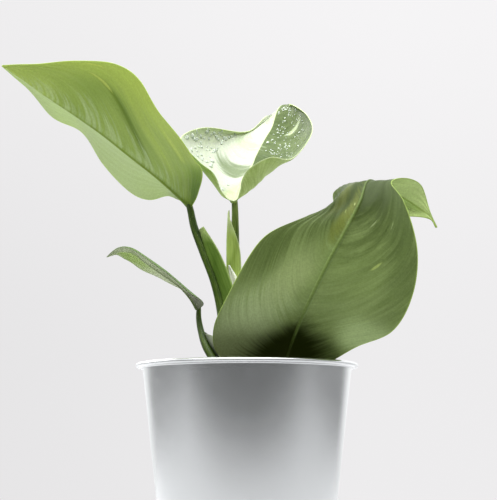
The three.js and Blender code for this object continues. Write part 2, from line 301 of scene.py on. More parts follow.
class Graph:
    """A node tree, with a short call for each kind of node."""

    def __init__(self, tree: Any) -> None:
        """Empties the tree.

        Args:
            tree: The node tree of a material or of the world.
        """
        self.tree = tree
        self.tree.nodes.clear()

    def node(self, kind: str, **settings: Any) -> Any:
        """Adds a node.

        Args:
            kind: The node's type.
            settings: Its own settings by name.

        Returns:
            The new node.
        """
        made = self.tree.nodes.new(kind)
        for label, value in settings.items():
            setattr(made, label, value)
        return made

    def feed(self, socket: Any, value: Any) -> None:
        """Links a value to a socket, or writes it there when it is a plain number or colour.

        Args:
            socket: The input that takes the value.
            value: An output of another node, a number or a colour.
        """
        if isinstance(value, bpy.types.NodeSocket):
            self.tree.links.new(value, socket)
        elif isinstance(value, tuple) and len(value) == 3 and socket.type == "RGBA":
            socket.default_value = (*value, 1.0)
        else:
            socket.default_value = value

    def attribute(self, name: str) -> Any:
        """The number that the mesh carries under a name."""
        return self.node("ShaderNodeAttribute", attribute_name=name).outputs["Fac"]

    def place(self) -> Any:
        """The place in the object's own coordinates."""
        return self.node("ShaderNodeTexCoord").outputs["Object"]

    def split(self, vector: Any) -> tuple[Any, Any, Any]:
        """Takes a vector apart.

        Args:
            vector: The vector.

        Returns:
            The outputs that hold its x, y and z.
        """
        made = self.node("ShaderNodeSeparateXYZ")
        self.feed(made.inputs[0], vector)
        return made.outputs[0], made.outputs[1], made.outputs[2]

    def calc(self, kind: Sum, first: Any, second: Any) -> Any:
        """Works out one sum.

        Args:
            kind: Which sum.
            first: Its first number.
            second: Its second number.

        Returns:
            The output that holds the result.
        """
        made = self.node("ShaderNodeMath", operation=kind.value)
        self.feed(made.inputs[0], first)
        self.feed(made.inputs[1], second)
        return made.outputs[0]

    def weigh(self, first: Any, second: Any, share: float) -> Any:
        """Two numbers in one: the share of the first plus the rest of the second.

        Args:
            first: The number that gets the share.
            second: The number that gets the rest.
            share: From 0 to 1.

        Returns:
            The output that holds the result.
        """
        part = self.calc(Sum.TIMES, first, share)
        rest = self.calc(Sum.TIMES, second, 1 - share)
        return self.calc(Sum.ADD, part, rest)

    def span(
        self, value: Any, low: float, high: float, start: float = 0.0, end: float = 1.0
    ) -> Any:
        """Turns low to high into start to end by a smooth step, held at both ends.

        Args:
            value: The number to turn.
            low: Where the step begins.
            high: Where it ends.
            start: What it gives up to low.
            end: What it gives from high.

        Returns:
            The output that holds the result.
        """
        made = self.node("ShaderNodeMapRange", interpolation_type="SMOOTHSTEP")
        for place, number in enumerate((value, low, high, start, end)):
            self.feed(made.inputs[place], number)
        return made.outputs[0]

    def vector(self, x: Any, y: Any, z: Any) -> Any:
        """Joins three numbers.

        Args:
            x: The first.
            y: The second.
            z: The third.

        Returns:
            The output that holds the vector.
        """
        made = self.node("ShaderNodeCombineXYZ")
        for place, number in enumerate((x, y, z)):
            self.feed(made.inputs[place], number)
        return made.outputs[0]

    def noise(self, vector: Any, scale: float, detail: float = 2.0, rough: float = 0.5) -> Any:
        """Soft noise from 0 to 1 about 0.5.

        Args:
            vector: Where it is read.
            scale: How many waves lie along one unit.
            detail: How many finer layers it has.
            rough: How strong each layer is beside the one before.

        Returns:
            The output that holds the noise.
        """
        made = self.node("ShaderNodeTexNoise")
        for label, number in (
            ("Vector", vector), ("Scale", scale), ("Detail", detail), ("Roughness", rough)
        ):
            self.feed(made.inputs[label], number)
        return made.outputs[0]

    def cells(self, vector: Any, scale: float) -> Any:
        """The distance to the nearest of many scattered points, in steps of their spacing.

        Args:
            vector: Where it is read.
            scale: How many points lie along one unit.

        Returns:
            The output that holds the distance.
        """
        made = self.node("ShaderNodeTexVoronoi")
        self.feed(made.inputs["Vector"], vector)
        self.feed(made.inputs["Scale"], scale)
        return made.outputs["Distance"]

    def mix(self, share: Any, first: Any, second: Any) -> Any:
        """A colour part of the way from the first to the second.

        Args:
            share: How much of the second, from 0 to 1.
            first: The first colour.
            second: The second colour.

        Returns:
            The output that holds the colour.
        """
        made = self.node("ShaderNodeMix", data_type="RGBA")
        self.feed(made.inputs[0], share)
        self.feed(made.inputs[6], first)
        self.feed(made.inputs[7], second)
        return made.outputs[2]

    def shade(self, colour: Any, amount: Any) -> Any:
        """A colour with each channel multiplied by an amount.

        Args:
            colour: The colour.
            amount: The number.

        Returns:
            The output that holds the colour.
        """
        made = self.node("ShaderNodeVectorMath", operation="SCALE")
        self.feed(made.inputs[0], colour)
        self.feed(made.inputs["Scale"], amount)
        return made.outputs[0]

    def bump(self, height: Any, depth: float, under: Any = None) -> Any:
        """A normal bent by a height.

        Args:
            height: A number from 0 to 1.
            depth: What a height of 1 stands for, in metres.
            under: A normal that is already bent by something else.

        Returns:
            The output that holds the normal.
        """
        made = self.node("ShaderNodeBump")
        made.inputs["Distance"].default_value = depth
        self.feed(made.inputs["Height"], height)
        if under is not None:
            self.feed(made.inputs["Normal"], under)
        return made.outputs[0]

    def surface(self, **inputs: Any) -> Any:
        """The main shader.

        Args:
            inputs: Its inputs by name, with _ for a space.

        Returns:
            The shader's output.
        """
        made = self.node("ShaderNodeBsdfPrincipled")
        for label, value in inputs.items():
            self.feed(made.inputs[label.replace("_", " ")], value)
        return made.outputs[0]

    def background(self, colour: Colour, strength: Any) -> Any:
        """A surround's shader.

        Args:
            colour: The colour of its light.
            strength: How bright it is.

        Returns:
            The shader's output.
        """
        made = self.node("ShaderNodeBackground")
        self.feed(made.inputs[0], colour)
        self.feed(made.inputs[1], strength)
        return made.outputs[0]

    def blend(self, share: Any, first: Any, second: Any) -> Any:
        """Two shaders in one.

        Args:
            share: How much of the second, from 0 to 1.
            first: The first shader.
            second: The second shader.

        Returns:
            The output of both together.
        """
        both = self.node("ShaderNodeMixShader")
        for place, value in enumerate((share, first, second)):
            self.feed(both.inputs[place], value)
        return both.outputs[0]


class FinishGraph(Graph):
    """The node tree of one finish."""

    def __init__(self, name: str, colour: Colour) -> None:
        """Starts a new material.

        Args:
            name: The material's name.
            colour: Its plain colour in the viewport.
        """
        self.material = bpy.data.materials.new(name)
        self.material.diffuse_color = (*colour, 1.0)
        self.material.use_nodes = True
        super().__init__(self.material.node_tree)

    def shine_through(self, skin: Any, colour: Any, share: float) -> Any:
        """A thin skin that lets some of the light behind it through.

        Args:
            skin: The shader of its surface.
            colour: The colour of the light that comes through.
            share: How much of the light does.

        Returns:
            The output of both together.
        """
        light = self.node("ShaderNodeBsdfTranslucent")
        self.feed(light.inputs[0], colour)
        return self.blend(share, skin, light.outputs[0])

    def finish(self, shader: Any) -> bpy.types.Material:
        """Ends the tree with a shader.

        Args:
            shader: The shader's output.

        Returns:
            The finished material.
        """
        self.tree.links.new(shader, self.node("ShaderNodeOutputMaterial").inputs[0])
        return self.material


@dataclass(frozen=True)
class SatinMetal:
    """Spun sheet metal, brushed to a fine matt grain.

    Scales are waves to the metre, and depths are metres.
    """

    colour: Colour = (0.535, 0.545, 0.545)
    dull: Colour = (0.485, 0.495, 0.495)
    roughness: float = 0.25
    roughness_play: float = 0.02
    grain_scale: float = 2600.0
    cloud_scale: float = 28.0
    ring_scale: float = 420.0
    grain_depth: float = 0.00003
    ring_depth: float = 0.000012

    def material(self) -> bpy.types.Material:
        """Fine grain in the colour, the gloss and the normal, and faint rings from the spinning.

        Returns:
            The material.
        """
        g = FinishGraph("satin_metal", self.colour)
        place = g.place()
        grain = g.noise(place, self.grain_scale, 2.0, 0.6)
        cloud = g.noise(place, self.cloud_scale, 4.0, 0.6)
        colour = g.mix(g.span(g.weigh(grain, cloud, 0.6), 0.3, 0.7), self.dull, self.colour)
        low = self.roughness - self.roughness_play
        high = self.roughness + self.roughness_play
        rough = g.span(g.weigh(cloud, grain, 0.6), 0.35, 0.65, low, high)
        rings = g.noise(g.vector(0.0, 0.0, g.split(place)[2]), self.ring_scale, 3.0, 0.6)
        normal = g.bump(rings, self.ring_depth, g.bump(grain, self.grain_depth))
        metal = g.surface(Base_Color=colour, Metallic=1.0, Roughness=rough, Normal=normal)
        return g.finish(metal)


@dataclass(frozen=True)
class PottingSoil:
    """Dark peat, with paler fibre."""

    dark: Colour = (0.012, 0.008, 0.005)
    light: Colour = (0.060, 0.038, 0.022)
    roughness: float = 0.92
    clod_scale: float = 260.0
    fibre_scale: float = 1500.0
    clod_depth: float = 0.0008
    fibre_depth: float = 0.0003
    fibre_lift: float = 2.2

    def material(self) -> bpy.types.Material:
        """Two scales of noise choose between wet and dry peat and raise its crumb.

        Returns:
            The material.
        """
        g = FinishGraph("peat", self.light)
        place = g.place()
        clods = g.noise(place, self.clod_scale, 5.0, 0.65)
        fibre = g.noise(place, self.fibre_scale, 3.0, 0.6)
        pale = g.shade(self.light, self.fibre_lift)
        colour = g.mix(g.span(clods, 0.35, 0.7), self.dark, self.light)
        colour = g.mix(g.span(fibre, 0.62, 0.75, 0.0, 0.5), colour, pale)
        normal = g.bump(fibre, self.fibre_depth, g.bump(clods, self.clod_depth))
        return g.finish(g.surface(Base_Color=colour, Roughness=self.roughness, Normal=normal))


@dataclass(frozen=True)
class Crumb:
    """Chips that lie in the soil, each a little different in tone."""

    name: str
    dark: Colour
    light: Colour
    roughness: float = 0.85
    tone_turns: float = 37.0
    grain_scale: float = 900.0
    grain_depth: float = 0.0002

    def material(self) -> bpy.types.Material:
        """Each chip's own number picks its tone, and fine noise marks its grain.

        Returns:
            The material.
        """
        g = FinishGraph(self.name, self.light)
        turns = g.calc(Sum.TIMES, g.attribute("tint"), self.tone_turns)
        tone = g.calc(Sum.TIMES, g.calc(Sum.ZIGZAG, turns, 1.0), 0.6)
        grain = g.noise(g.place(), self.grain_scale, 3.0, 0.6)
        share = g.calc(Sum.ADD, tone, g.span(grain, 0.3, 0.7, -0.2, 0.4))
        colour = g.mix(share, self.dark, self.light)
        normal = g.bump(grain, self.grain_depth)
        return g.finish(g.surface(Base_Color=colour, Roughness=self.roughness, Normal=normal))


@dataclass(frozen=True)
class StalkSkin:
    """The skin of a petiole: streaked lengthwise, with pale ridges and fine pale dots."""

    name: str
    dark: Colour
    light: Colour
    ridge: Colour
    roughness: float = 0.42
    gloss: float = 0.25
    streak_draw: float = 30.0
    tone_draw: float = 60.0
    streak_depth: float = 0.00012
    dot_scale: float = 700.0

    def material(self) -> bpy.types.Material:
        """Noise drawn out along the stalk streaks it; the ridges take a lighter green.

        Returns:
            The material.
        """
        g = FinishGraph(self.name, self.light)
        turn_x, turn_y = g.attribute("turn_x"), g.attribute("turn_y")
        along = g.attribute("along")
        streak_run = g.calc(Sum.TIMES, along, self.streak_draw)
        tone_run = g.calc(Sum.TIMES, along, self.tone_draw)
        streak = g.noise(g.vector(turn_x, turn_y, streak_run), 5.0, 4.0, 0.6)
        broad = g.noise(g.vector(turn_x, turn_y, tone_run), 0.9, 2.0)
        tone = g.weigh(streak, broad, 0.6)
        colour = g.mix(g.span(tone, 0.36, 0.64), self.dark, self.light)
        colour = g.mix(g.span(g.attribute("ridge"), 0.35, 1.0, 0.0, 0.8), colour, self.ridge)
        dots = g.cells(g.place(), self.dot_scale)
        colour = g.mix(g.span(dots, 0.14, 0.2, 0.35, 0.0), colour, self.ridge)
        skin = g.surface(
            Base_Color=colour,
            Roughness=self.roughness,
            Specular_IOR_Level=self.gloss,
            Normal=g.bump(streak, self.streak_depth),
        )
        return g.finish(skin)


@dataclass(frozen=True)
class SheathSkin:
    """A sheath: ribbed by fine parallel veins, with a thin pale margin that lets light through."""

    name: str
    dark: Colour
    light: Colour
    edge: Colour
    glow: Colour
    foot: Colour
    tip_fade: float = 0.85
    glow_share: float = 0.35
    roughness: float = 0.45
    gloss: float = 0.3
    stripe_count: float = 9.0
    stripe_depth: float = 0.0001
    margin_from: float = 0.0003
    margin_to: float = 0.0012

    def material(self) -> bpy.types.Material:
        """Stripes run from base to tip; margins and tip fade into the edge colour.

        Returns:
            The material.
        """
        g = FinishGraph(self.name, self.light)
        along, across = g.attribute("along"), g.attribute("across")
        over = g.calc(Sum.TIMES, across, self.stripe_count)
        stripes = g.noise(g.vector(over, along, 0.0), 2.2, 4.0, 0.6)
        broad = g.noise(g.vector(across, g.calc(Sum.TIMES, along, 3.0), 4.0), 1.5, 2.0)
        tone = g.weigh(stripes, broad, 0.55)
        colour = g.mix(g.span(tone, 0.36, 0.62), self.dark, self.light)
        colour = g.mix(g.span(along, 0.25, 0.6, 0.8, 0.0), colour, self.foot)
        margin = g.span(g.attribute("from_edge"), self.margin_from, self.margin_to, 0.85, 0.0)
        colour = g.mix(margin, colour, self.edge)
        colour = g.mix(g.span(along, self.tip_fade, 1.0, 0.0, 0.9), colour, self.edge)
        skin = g.surface(
            Base_Color=colour,
            Roughness=self.roughness,
            Specular_IOR_Level=self.gloss,
            Normal=g.bump(stripes, self.stripe_depth),
        )
        glow = g.mix(0.5, colour, self.glow)
        return g.finish(g.shine_through(skin, glow, self.glow_share))


class Follow(Enum):
    """What a patch is measured over, besides the way across the blade."""

    VEIN = "vein"
    ALONG = "along"


@dataclass(frozen=True)
class Patch:
    """An oval patch of another tone on one face of a blade; some are variegation, others painted
    light and shade.

    It lies about a place over the veins or along the blade, and a place across it, with a
    half-size either way. Its edge fades over the soft share of its size and is frayed by
    the stripes.
    """

    follow: Follow
    place: float
    across: float
    breadth: float
    reach: float
    colour: Colour
    share: float = 0.8
    soft: float = 0.5
    fray: float = 0.5


class Halves(Enum):
    """How the two halves of a blade's upper face are coloured."""

    GREEN = "green"
    HALF_CREAM = "half cream"


@dataclass(frozen=True)
class LeafSkin:
    """A leaf blade's two faces, its midrib and margin, and the light that comes through."""

    name: str
    under_dark: Colour
    under_light: Colour
    over_dark: Colour
    over_light: Colour
    glow: Colour
    margin: Colour
    rib: Colour
    cream: Colour = (0.86, 0.89, 0.76)
    under_patches: tuple[Patch, ...] = ()
    over_patches: tuple[Patch, ...] = ()
    halves: Halves = Halves.GREEN
    specks: float = 0.0
    glow_share: float = 0.4
    roughness: float = 0.46
    gloss: float = 0.3
    fineness: float = 1.0
    stripe_count: float = 20.0
    hair_count: float = 90.0
    stripe_depth: float = 0.00012
    hair_depth: float = 0.00005
    grain_scale: float = 900.0
    speck_scale: float = 42.0
    speck: Colour = (0.05, 0.04, 0.02)
    cream_stripe: Colour = (0.62, 0.74, 0.40)
    hair_shade: float = 0.06
    grain_shade: float = 0.09
    margin_from: float = 0.0002
    margin_to: float = 0.0009
    rib_line_from: float = 0.0003
    rib_line_to: float = 0.0007

    def material(self) -> bpy.types.Material:
        """Both faces, chosen by the mesh's own number, over one translucent sheet.

        Returns:
            The material.
        """
        g = FinishGraph(self.name, self.under_light)
        vein, across = g.attribute("vein"), g.attribute("across")
        stripe_run = g.calc(Sum.TIMES, vein, self.stripe_count * self.fineness)
        hair_run = g.calc(Sum.TIMES, vein, self.hair_count * self.fineness)
        broad = g.noise(g.vector(g.calc(Sum.TIMES, vein, 3.0), across, 2.0), 1.6, 3.0)
        stripes = g.noise(g.vector(stripe_run, across, 0.0), 2.4, 4.0, 0.62)
        hairs = g.noise(g.vector(hair_run, across, 5.0), 2.0, 2.0)
        tone = g.span(g.weigh(broad, stripes, 0.5), 0.33, 0.67)
        under = self._under(g, g.mix(tone, self.under_dark, self.under_light), stripes)
        over = self._over(g, g.mix(tone, self.over_dark, self.over_light), across, stripes)
        colour = g.mix(g.span(g.attribute("upper"), 0.45, 0.55), under, over)
        colour = self._fine_marks(g, colour, hairs)
        depth = self.fineness**2
        normal = g.bump(hairs, self.hair_depth * depth, g.bump(stripes, self.stripe_depth * depth))
        skin = g.surface(
            Base_Color=colour,
            Roughness=self.roughness,
            Specular_IOR_Level=self.gloss,
            Normal=normal,
        )
        glow = g.mix(0.6, colour, self.glow)
        return g.finish(g.shine_through(skin, glow, self.glow_share))

    def _under(self, g: FinishGraph, green: Any, stripes: Any) -> Any:
        """The lower face, with its patches and the raised rib in its own colour.

        Args:
            g: The tree.
            green: The face's plain tone.
            stripes: The stripes along the veins.

        Returns:
            The face's colour.
        """
        green = self._patched(g, green, self.under_patches, stripes)
        return g.mix(g.span(g.attribute("rib"), 0.15, 0.6, 0.0, 0.9), green, self.rib)

    def _over(self, g: FinishGraph, green: Any, across: Any, stripes: Any) -> Any:
        """The upper face, with its cream half if it has one, its patches and a thin midrib.

        Args:
            g: The tree.
            green: The face's plain tone.
            across: The way across the blade.
            stripes: The stripes along the veins.

        Returns:
            The face's colour.
        """
        if self.halves is Halves.HALF_CREAM:
            left = g.span(across, -0.015, 0.015, 1.0, 0.0)
            streak = g.span(stripes, 0.5, 0.75, 0.0, 0.45)
            green = g.mix(left, green, g.mix(streak, self.cream, self.cream_stripe))
        green = self._patched(g, green, self.over_patches, stripes)
        from_middle = g.attribute("from_middle")
        rib = g.span(from_middle, self.rib_line_from, self.rib_line_to, 0.8, 0.0)
        return g.mix(rib, green, self.margin)

    def _fine_marks(self, g: FinishGraph, colour: Any, hairs: Any) -> Any:
        """Hair veins, grain, small dark specks and the margin, laid over either face.

        Args:
            g: The tree.
            colour: The colour below them.
            hairs: The noise of the hair veins.

        Returns:
            The blade's colour.
        """
        grain = g.noise(g.place(), self.grain_scale, 3.0, 0.6)
        for noise, play in ((hairs, self.hair_shade), (grain, self.grain_shade)):
            colour = g.shade(colour, g.span(noise, 0.3, 0.7, 1 - play, 1 + play))
        cells = g.cells(g.place(), self.speck_scale)
        colour = g.mix(g.span(cells, 0.035, 0.05, self.specks, 0.0), colour, self.speck)
        from_edge = g.attribute("from_edge")
        margin = g.span(from_edge, self.margin_from, self.margin_to, 0.85, 0.0)
        return g.mix(margin, colour, self.margin)

    def _patched(
        self, g: FinishGraph, colour: Any, patches: tuple[Patch, ...], stripes: Any
    ) -> Any:
        """A face's tone with its patches laid over it in order.

        The mask is full where sqrt((u / breadth)^2 + (v / reach)^2), frayed by the
        stripes, is below 1 less the soft share, and nothing above 1 plus that share.

        Args:
            g: The tree.
            colour: The face's tone.
            patches: The patches.
            stripes: The stripes that fray their edges.

        Returns:
            The patched tone.
        """
        for patch in patches:
            over = g.calc(Sum.LESS, g.attribute(patch.follow.value), patch.place)
            side = g.calc(Sum.LESS, g.attribute("across"), patch.across)
            x = g.calc(Sum.POWER, g.calc(Sum.OVER, over, patch.breadth), 2.0)
            y = g.calc(Sum.POWER, g.calc(Sum.OVER, side, patch.reach), 2.0)
            distance = g.calc(Sum.POWER, g.calc(Sum.ADD, x, y), 0.5)
            fray = g.span(stripes, 0.2, 0.8, -patch.fray, patch.fray)
            frayed = g.calc(Sum.ADD, distance, fray)
            mask = g.span(frayed, 1 - patch.soft, 1 + patch.soft, patch.share, 0.0)
            colour = g.mix(mask, colour, patch.colour)
        return colour


@dataclass(frozen=True)
class Water:
    """Drops of water that take some of their tone from the leaf below."""

    colour: Colour = (0.72, 0.80, 0.68)
    roughness: float = 0.03
    refraction: float = 1.33
    clearness: float = 0.45
    ripple_scale: float = 500.0
    ripple_depth: float = 0.00002

    def material(self) -> bpy.types.Material:
        """A smooth surface, part clear and part pale, with a trace of unevenness.

        Returns:
            The material.
        """
        g = FinishGraph("water", (0.8, 0.9, 0.85))
        ripple = g.bump(g.noise(g.place(), self.ripple_scale), self.ripple_depth)
        water = g.surface(
            Base_Color=self.colour,
            Roughness=self.roughness,
            IOR=self.refraction,
            Transmission_Weight=self.clearness,
            Normal=ripple,
        )
        return g.finish(water)


# Sheets


@dataclass(frozen=True)
class Sheet:
    """A leaf-like surface held by three rails from its base to its tip.

    Left and right are as seen on the upper face. A line across goes straight from the
    middle rail to a margin and is bent by the bow, which is largest half-way out.
    """

    mid: Rail
    left: Rail
    right: Rail
    left_bow: Rail
    right_bow: Rail

    def point(self, t: Array, s: Array) -> Array:
        """The place at t along the sheet and s across it.

        It is the middle plus |s| of the way to the margin, plus 4|s|(1 - |s|) of the bow.

        Args:
            t: 0 at the base to 1 at the tip.
            s: -1 at the left margin to 1 at the right.

        Returns:
            Places, with x, y and z on the last axis.
        """
        out = np.abs(s)[..., None]
        on_left = (s < 0)[..., None]
        middle = catmull_rom(self.mid, t)
        margin = np.where(on_left, catmull_rom(self.left, t), catmull_rom(self.right, t))
        bow = np.where(on_left, catmull_rom(self.left_bow, t), catmull_rom(self.right_bow, t))
        return middle + (margin - middle) * out + bow * 4 * out * (1 - out)

    def normal(self, t: Array, s: Array, step: float = 0.004) -> Array:
        """The unit normal of the upper face, by differences of the surface.

        Args:
            t: 0 at the base to 1 at the tip.
            s: -1 at the left margin to 1 at the right.
            step: How far either side the difference reaches.

        Returns:
            Unit vectors on the last axis.
        """
        along = self.point(np.minimum(t + step, 1), s) - self.point(np.maximum(t - step, 0), s)
        across = self.point(t, np.minimum(s + step, 1)) - self.point(t, np.maximum(s - step, -1))
        return unit(np.cross(across, along))

    def half_width(self, t: Array, s: Array) -> Array:
        """The straight distance from the middle rail to a margin, at least a tenth of a mm.

        Args:
            t: 0 at the base to 1 at the tip.
            s: A number whose sign tells the side, below 0 for the left.

        Returns:
            The distance for each pair of t and s.
        """
        middle = catmull_rom(self.mid, t)
        margin = np.where(
            (s < 0)[..., None], catmull_rom(self.left, t), catmull_rom(self.right, t)
        )
        return np.maximum(np.linalg.norm(margin - middle, axis=-1), 1e-4)


@dataclass(frozen=True)
class Stations:
    """Where the columns of a shell lie across each row, from the middle out to a margin."""

    near_middle: tuple[float, ...] = (0.0, 0.0003, 0.0006, 0.0010, 0.0014, 0.0019, 0.0025)
    near_edge: tuple[float, ...] = (0.0014, 0.0009, 0.0005, 0.00025, 0.0001, 0.00003, 0.0)
    between: int = 34
    tight_below: float = 0.008

    def across(self, half_width: Array) -> Array:
        """Fractions of the half-width for each row.

        The first and last few columns keep their distance from the middle and from the
        margin, drawn together where the row is narrower than tight_below; the rest are
        spread evenly between them.

        Args:
            half_width: The half-width of each row.

        Returns:
            Rows by columns, from 0 at the middle to 1 at the margin.
        """
        width = half_width[:, None]
        tight = np.minimum(width / self.tight_below, 1.0)
        inner = tight * np.array(self.near_middle)
        outer = width - tight * np.array(self.near_edge)
        share = np.linspace(0, 1, self.between + 2)[1:-1]
        middle = inner[:, -1:] + (outer[:, :1] - inner[:, -1:]) * share
        return np.concatenate([inner, middle, outer], axis=1) / width


@dataclass(frozen=True)
class Shell:
    """A sheet's closed body, with both faces, a rounded margin and its relief."""

    sheet: Sheet
    thickness: float = 0.0005
    rows: int = 170
    stations: Stations = field(default_factory=Stations)
    edge_radius: float = 0.0006

    def rib(self, t: Array, from_middle: Array) -> Array:
        """How far the lower face stands out, none on a plain sheet."""
        return np.zeros_like(from_middle)

    def relief(self, t: Array, s: Array, vein: Array) -> Array:
        """How far both faces move along the upper normal, none on a plain sheet."""
        return np.zeros_like(t)

    def vein(self, t: Array, s: Array) -> Array:
        """The number that stays the same along a vein; on a plain sheet that is s itself."""
        return s

    def build(self, name: str) -> bpy.types.Object:
        """Works out the shell as one loft.

        Row by row, a ring runs over the upper face from the left margin to the right one
        and back over the lower face. The half thickness falls to nothing at the margin as
        a quarter circle does: H sqrt(1 - (1 - d / r)^2) at distance d.

        Args:
            name: The piece's name.

        Returns:
            The new object, with along, across, vein, upper, rib, from_middle and from_edge.
        """
        t = np.linspace(0, 1, self.rows)
        left = self.stations.across(self.sheet.half_width(t, -np.ones_like(t)))
        right = self.stations.across(self.sheet.half_width(t, np.ones_like(t)))
        upper = np.concatenate([-left[:, :0:-1], right], axis=1)
        s = np.concatenate([upper, upper[:, -2:0:-1]], axis=1)
        face = np.ones(s.shape[1])
        face[upper.shape[1] :] = -1.0
        face[[0, upper.shape[1] - 1]] = 0.0
        t = np.broadcast_to(t[:, None], s.shape)
        width = self.sheet.half_width(t, s)
        from_middle = np.abs(s) * width
        from_edge = np.maximum((1 - np.abs(s)) * width, 0.0)
        rounded = np.clip(from_edge / self.edge_radius, 0.0, 1.0)
        half = self.thickness / 2 * np.sqrt(1 - (1 - rounded) ** 2)
        vein = self.vein(t, s)
        rib = self.rib(t, from_middle)
        lift = half * face - np.where(face < 0, rib, 0.0) + self.relief(t, s, vein)
        rings = self.sheet.point(t, s) + self.sheet.normal(t, s) * lift[..., None]
        values = {
            "along": t,
            "across": s,
            "vein": vein,
            "upper": np.broadcast_to((face + 1) / 2, s.shape),
            "rib": np.where(face < 0, rib, 0.0) / max(float(rib.max()), 1e-6),
            "from_middle": from_middle,
            "from_edge": from_edge,
        }
        return loft(name, rings, values)


@dataclass(frozen=True)
class LeafBlade(Shell):
    """A heart-shaped blade whose side veins sweep from the midrib towards the tip."""

    left_sweep: float = 0.6
    right_sweep: float = 0.6
    sweep_power: float = 1.5
    vein_count: float = 11.0
    vein_depth: float = 0.00012
    wave: float = 0.0006
    wave_count: float = 5.0
    rib_height: float = 0.0014
    rib_width: float = 0.0019
    rib_tip_width: float = 0.0004
    rib_taper: float = 0.8
    left_vein_shift: float = 0.5
    left_wave_shift: float = 0.3

    def vein(self, t: Array, s: Array) -> Array:
        """Along a vein, t grows with |s| to the sweep power; this is t less that growth."""
        sweep = np.where(s < 0, self.left_sweep, self.right_sweep)
        return t - sweep * np.abs(s) ** self.sweep_power

    def rib(self, t: Array, from_middle: Array) -> Array:
        """A rounded midrib that thins towards the tip: H (1 - (d / w)^2) on its width.

        Args:
            t: 0 at the base to 1 at the tip.
            from_middle: The distance d from the middle rail.

        Returns:
            How far the lower face stands out.
        """
        thin = (1 - t) ** self.rib_taper
        width = self.rib_tip_width + self.rib_width * thin
        crown = np.clip(1 - (from_middle / width) ** 2, 0.0, 1.0)
        return self.rib_height * thin * crown

    def relief(self, t: Array, s: Array, vein: Array) -> Array:
        """Side veins as a row of waves, and a slow wave that grows towards the margins.

        The side veins fade out at the midrib and the margins, the slow wave grows with
        |s|^3, and both fade out at the base and the tip.

        Args:
            t: 0 at the base to 1 at the tip.
            s: -1 at the left margin to 1 at the right.
            vein: The number that stays the same along a vein.

        Returns:
            How far both faces move along the upper normal.
        """
        out = np.abs(s)
        vein_shift = np.where(s < 0, self.left_vein_shift, 0.0)
        ridges = -np.cos(tau * (self.vein_count * vein + vein_shift))
        fade = smooth_step(0.0, 0.15, out) * (1 - smooth_step(0.75, 1.0, out))
        wave_shift = np.where(s < 0, self.left_wave_shift, 0.0)
        waves = np.sin(tau * (self.wave_count * t + wave_shift))
        ends = smooth_step(0.0, 0.15, t) * (1 - smooth_step(0.85, 1.0, t))
        return self.vein_depth * ridges * fade * ends + self.wave * waves * out**3 * ends


# Sub-assemblies


@dataclass(frozen=True)
class Pot:
    """A tapered pot of spun sheet metal with a rolled rim."""

    height: float = 0.120
    rim_radius: float = 0.065
    bead_height: float = 0.003
    bead_width: float = 0.004
    base_radius: float = 0.048
    base_edge: float = 0.0015
    wall: float = 0.0009
    lip_radius: float = 0.0012
    bead_start: float = -0.78 * pi
    end_loops: tuple[float, ...] = (0.985, 0.996, 1.0)
    sides: int = 256
    finish: SatinMetal = SatinMetal()

    def wall_top_radius(self) -> float:
        """The outer radius of the wall where the bead starts."""
        return self.rim_radius - self.bead_width

    def profile(self) -> Array:
        """The pot's section, from the axis below, over the rim, to the axis inside.

        A quarter circle rounds the foot, a straight flank leads to the bead, and the bead
        is an ellipse that the wall meets on its inner side. A small arc leads over the lip
        to the straight inside. Each straight has its last loops close together, so that
        its shading stays even, and the underside and the floor have two loops each.

        Returns:
            Rows of radius and height.
        """
        top = self.height - self.bead_height
        outer = self.wall_top_radius()
        centre = (self.rim_radius - self.bead_width / 2, self.height - self.bead_height / 2)
        turn = np.linspace(self.bead_start, 0.5 * pi, 26)
        bead = np.stack(
            [
                centre[0] + self.bead_width / 2 * np.cos(turn),
                centre[1] + self.bead_height / 2 * np.sin(turn),
            ],
            axis=-1,
        )
        foot_turn = np.linspace(-pi / 2, -0.06, 7)
        foot = np.stack(
            [
                self.base_radius - self.base_edge * (1 - np.cos(foot_turn)),
                self.base_edge * (1 + np.sin(foot_turn)),
            ],
            axis=-1,
        )
        share = np.concatenate([np.linspace(0, 1, 24)[1:-1], self.end_loops])[:, None]
        flank = foot[-1] + (np.array([outer, top]) - foot[-1]) * share
        inner_top = outer - self.wall
        lip_turn = np.linspace(pi / 2, pi, 5)[1:]
        lip = np.stack(
            [
                inner_top + self.lip_radius + self.lip_radius * np.cos(lip_turn),
                self.height - self.lip_radius + self.lip_radius * np.sin(lip_turn),
            ],
            axis=-1,
        )
        inner_foot = np.array([self.base_radius - 2 * self.wall, 2 * self.wall])
        inside = lip[-1] + (inner_foot - lip[-1]) * share
        floor = np.array([[0.6, 1.0], [0.3, 1.0]]) * np.array([self.base_radius, self.wall])
        under = np.array([[0.3, 0.0], [0.7, 0.0]]) * np.array([self.base_radius, 1.0])
        return np.concatenate([under, foot, flank, bead, lip, inside, floor])

    def build(self) -> None:
        """Turns the section about the axis."""
        profile = self.profile()
        turn = np.arange(self.sides) * tau / self.sides
        rings = rings_about(profile[:, :1], turn, profile[:, 1:])
        dress(loft("pot_shell", rings), self.finish.material(), "pot_metal", "pot")


@dataclass(frozen=True)
class Chips:
    """Loose chips of one kind, with their number, half-sizes, start of random row and finish."""

    name: str
    count: int
    least: Point
    greatest: Point
    seed: int
    finish: Crumb


BARK = Chips(
    name="bark_chips",
    count=420,
    least=(0.0011, 0.0008, 0.0004),
    greatest=(0.0036, 0.0020, 0.0011),
    seed=11,
    finish=Crumb("bark", (0.020, 0.011, 0.006), (0.115, 0.062, 0.030)),
)
GRIT = Chips(
    name="white_grit",
    count=90,
    least=(0.0006, 0.0005, 0.0004),
    greatest=(0.0016, 0.0014, 0.0011),
    seed=23,
    finish=Crumb("grit", (0.42, 0.40, 0.35), (0.72, 0.70, 0.64)),
)


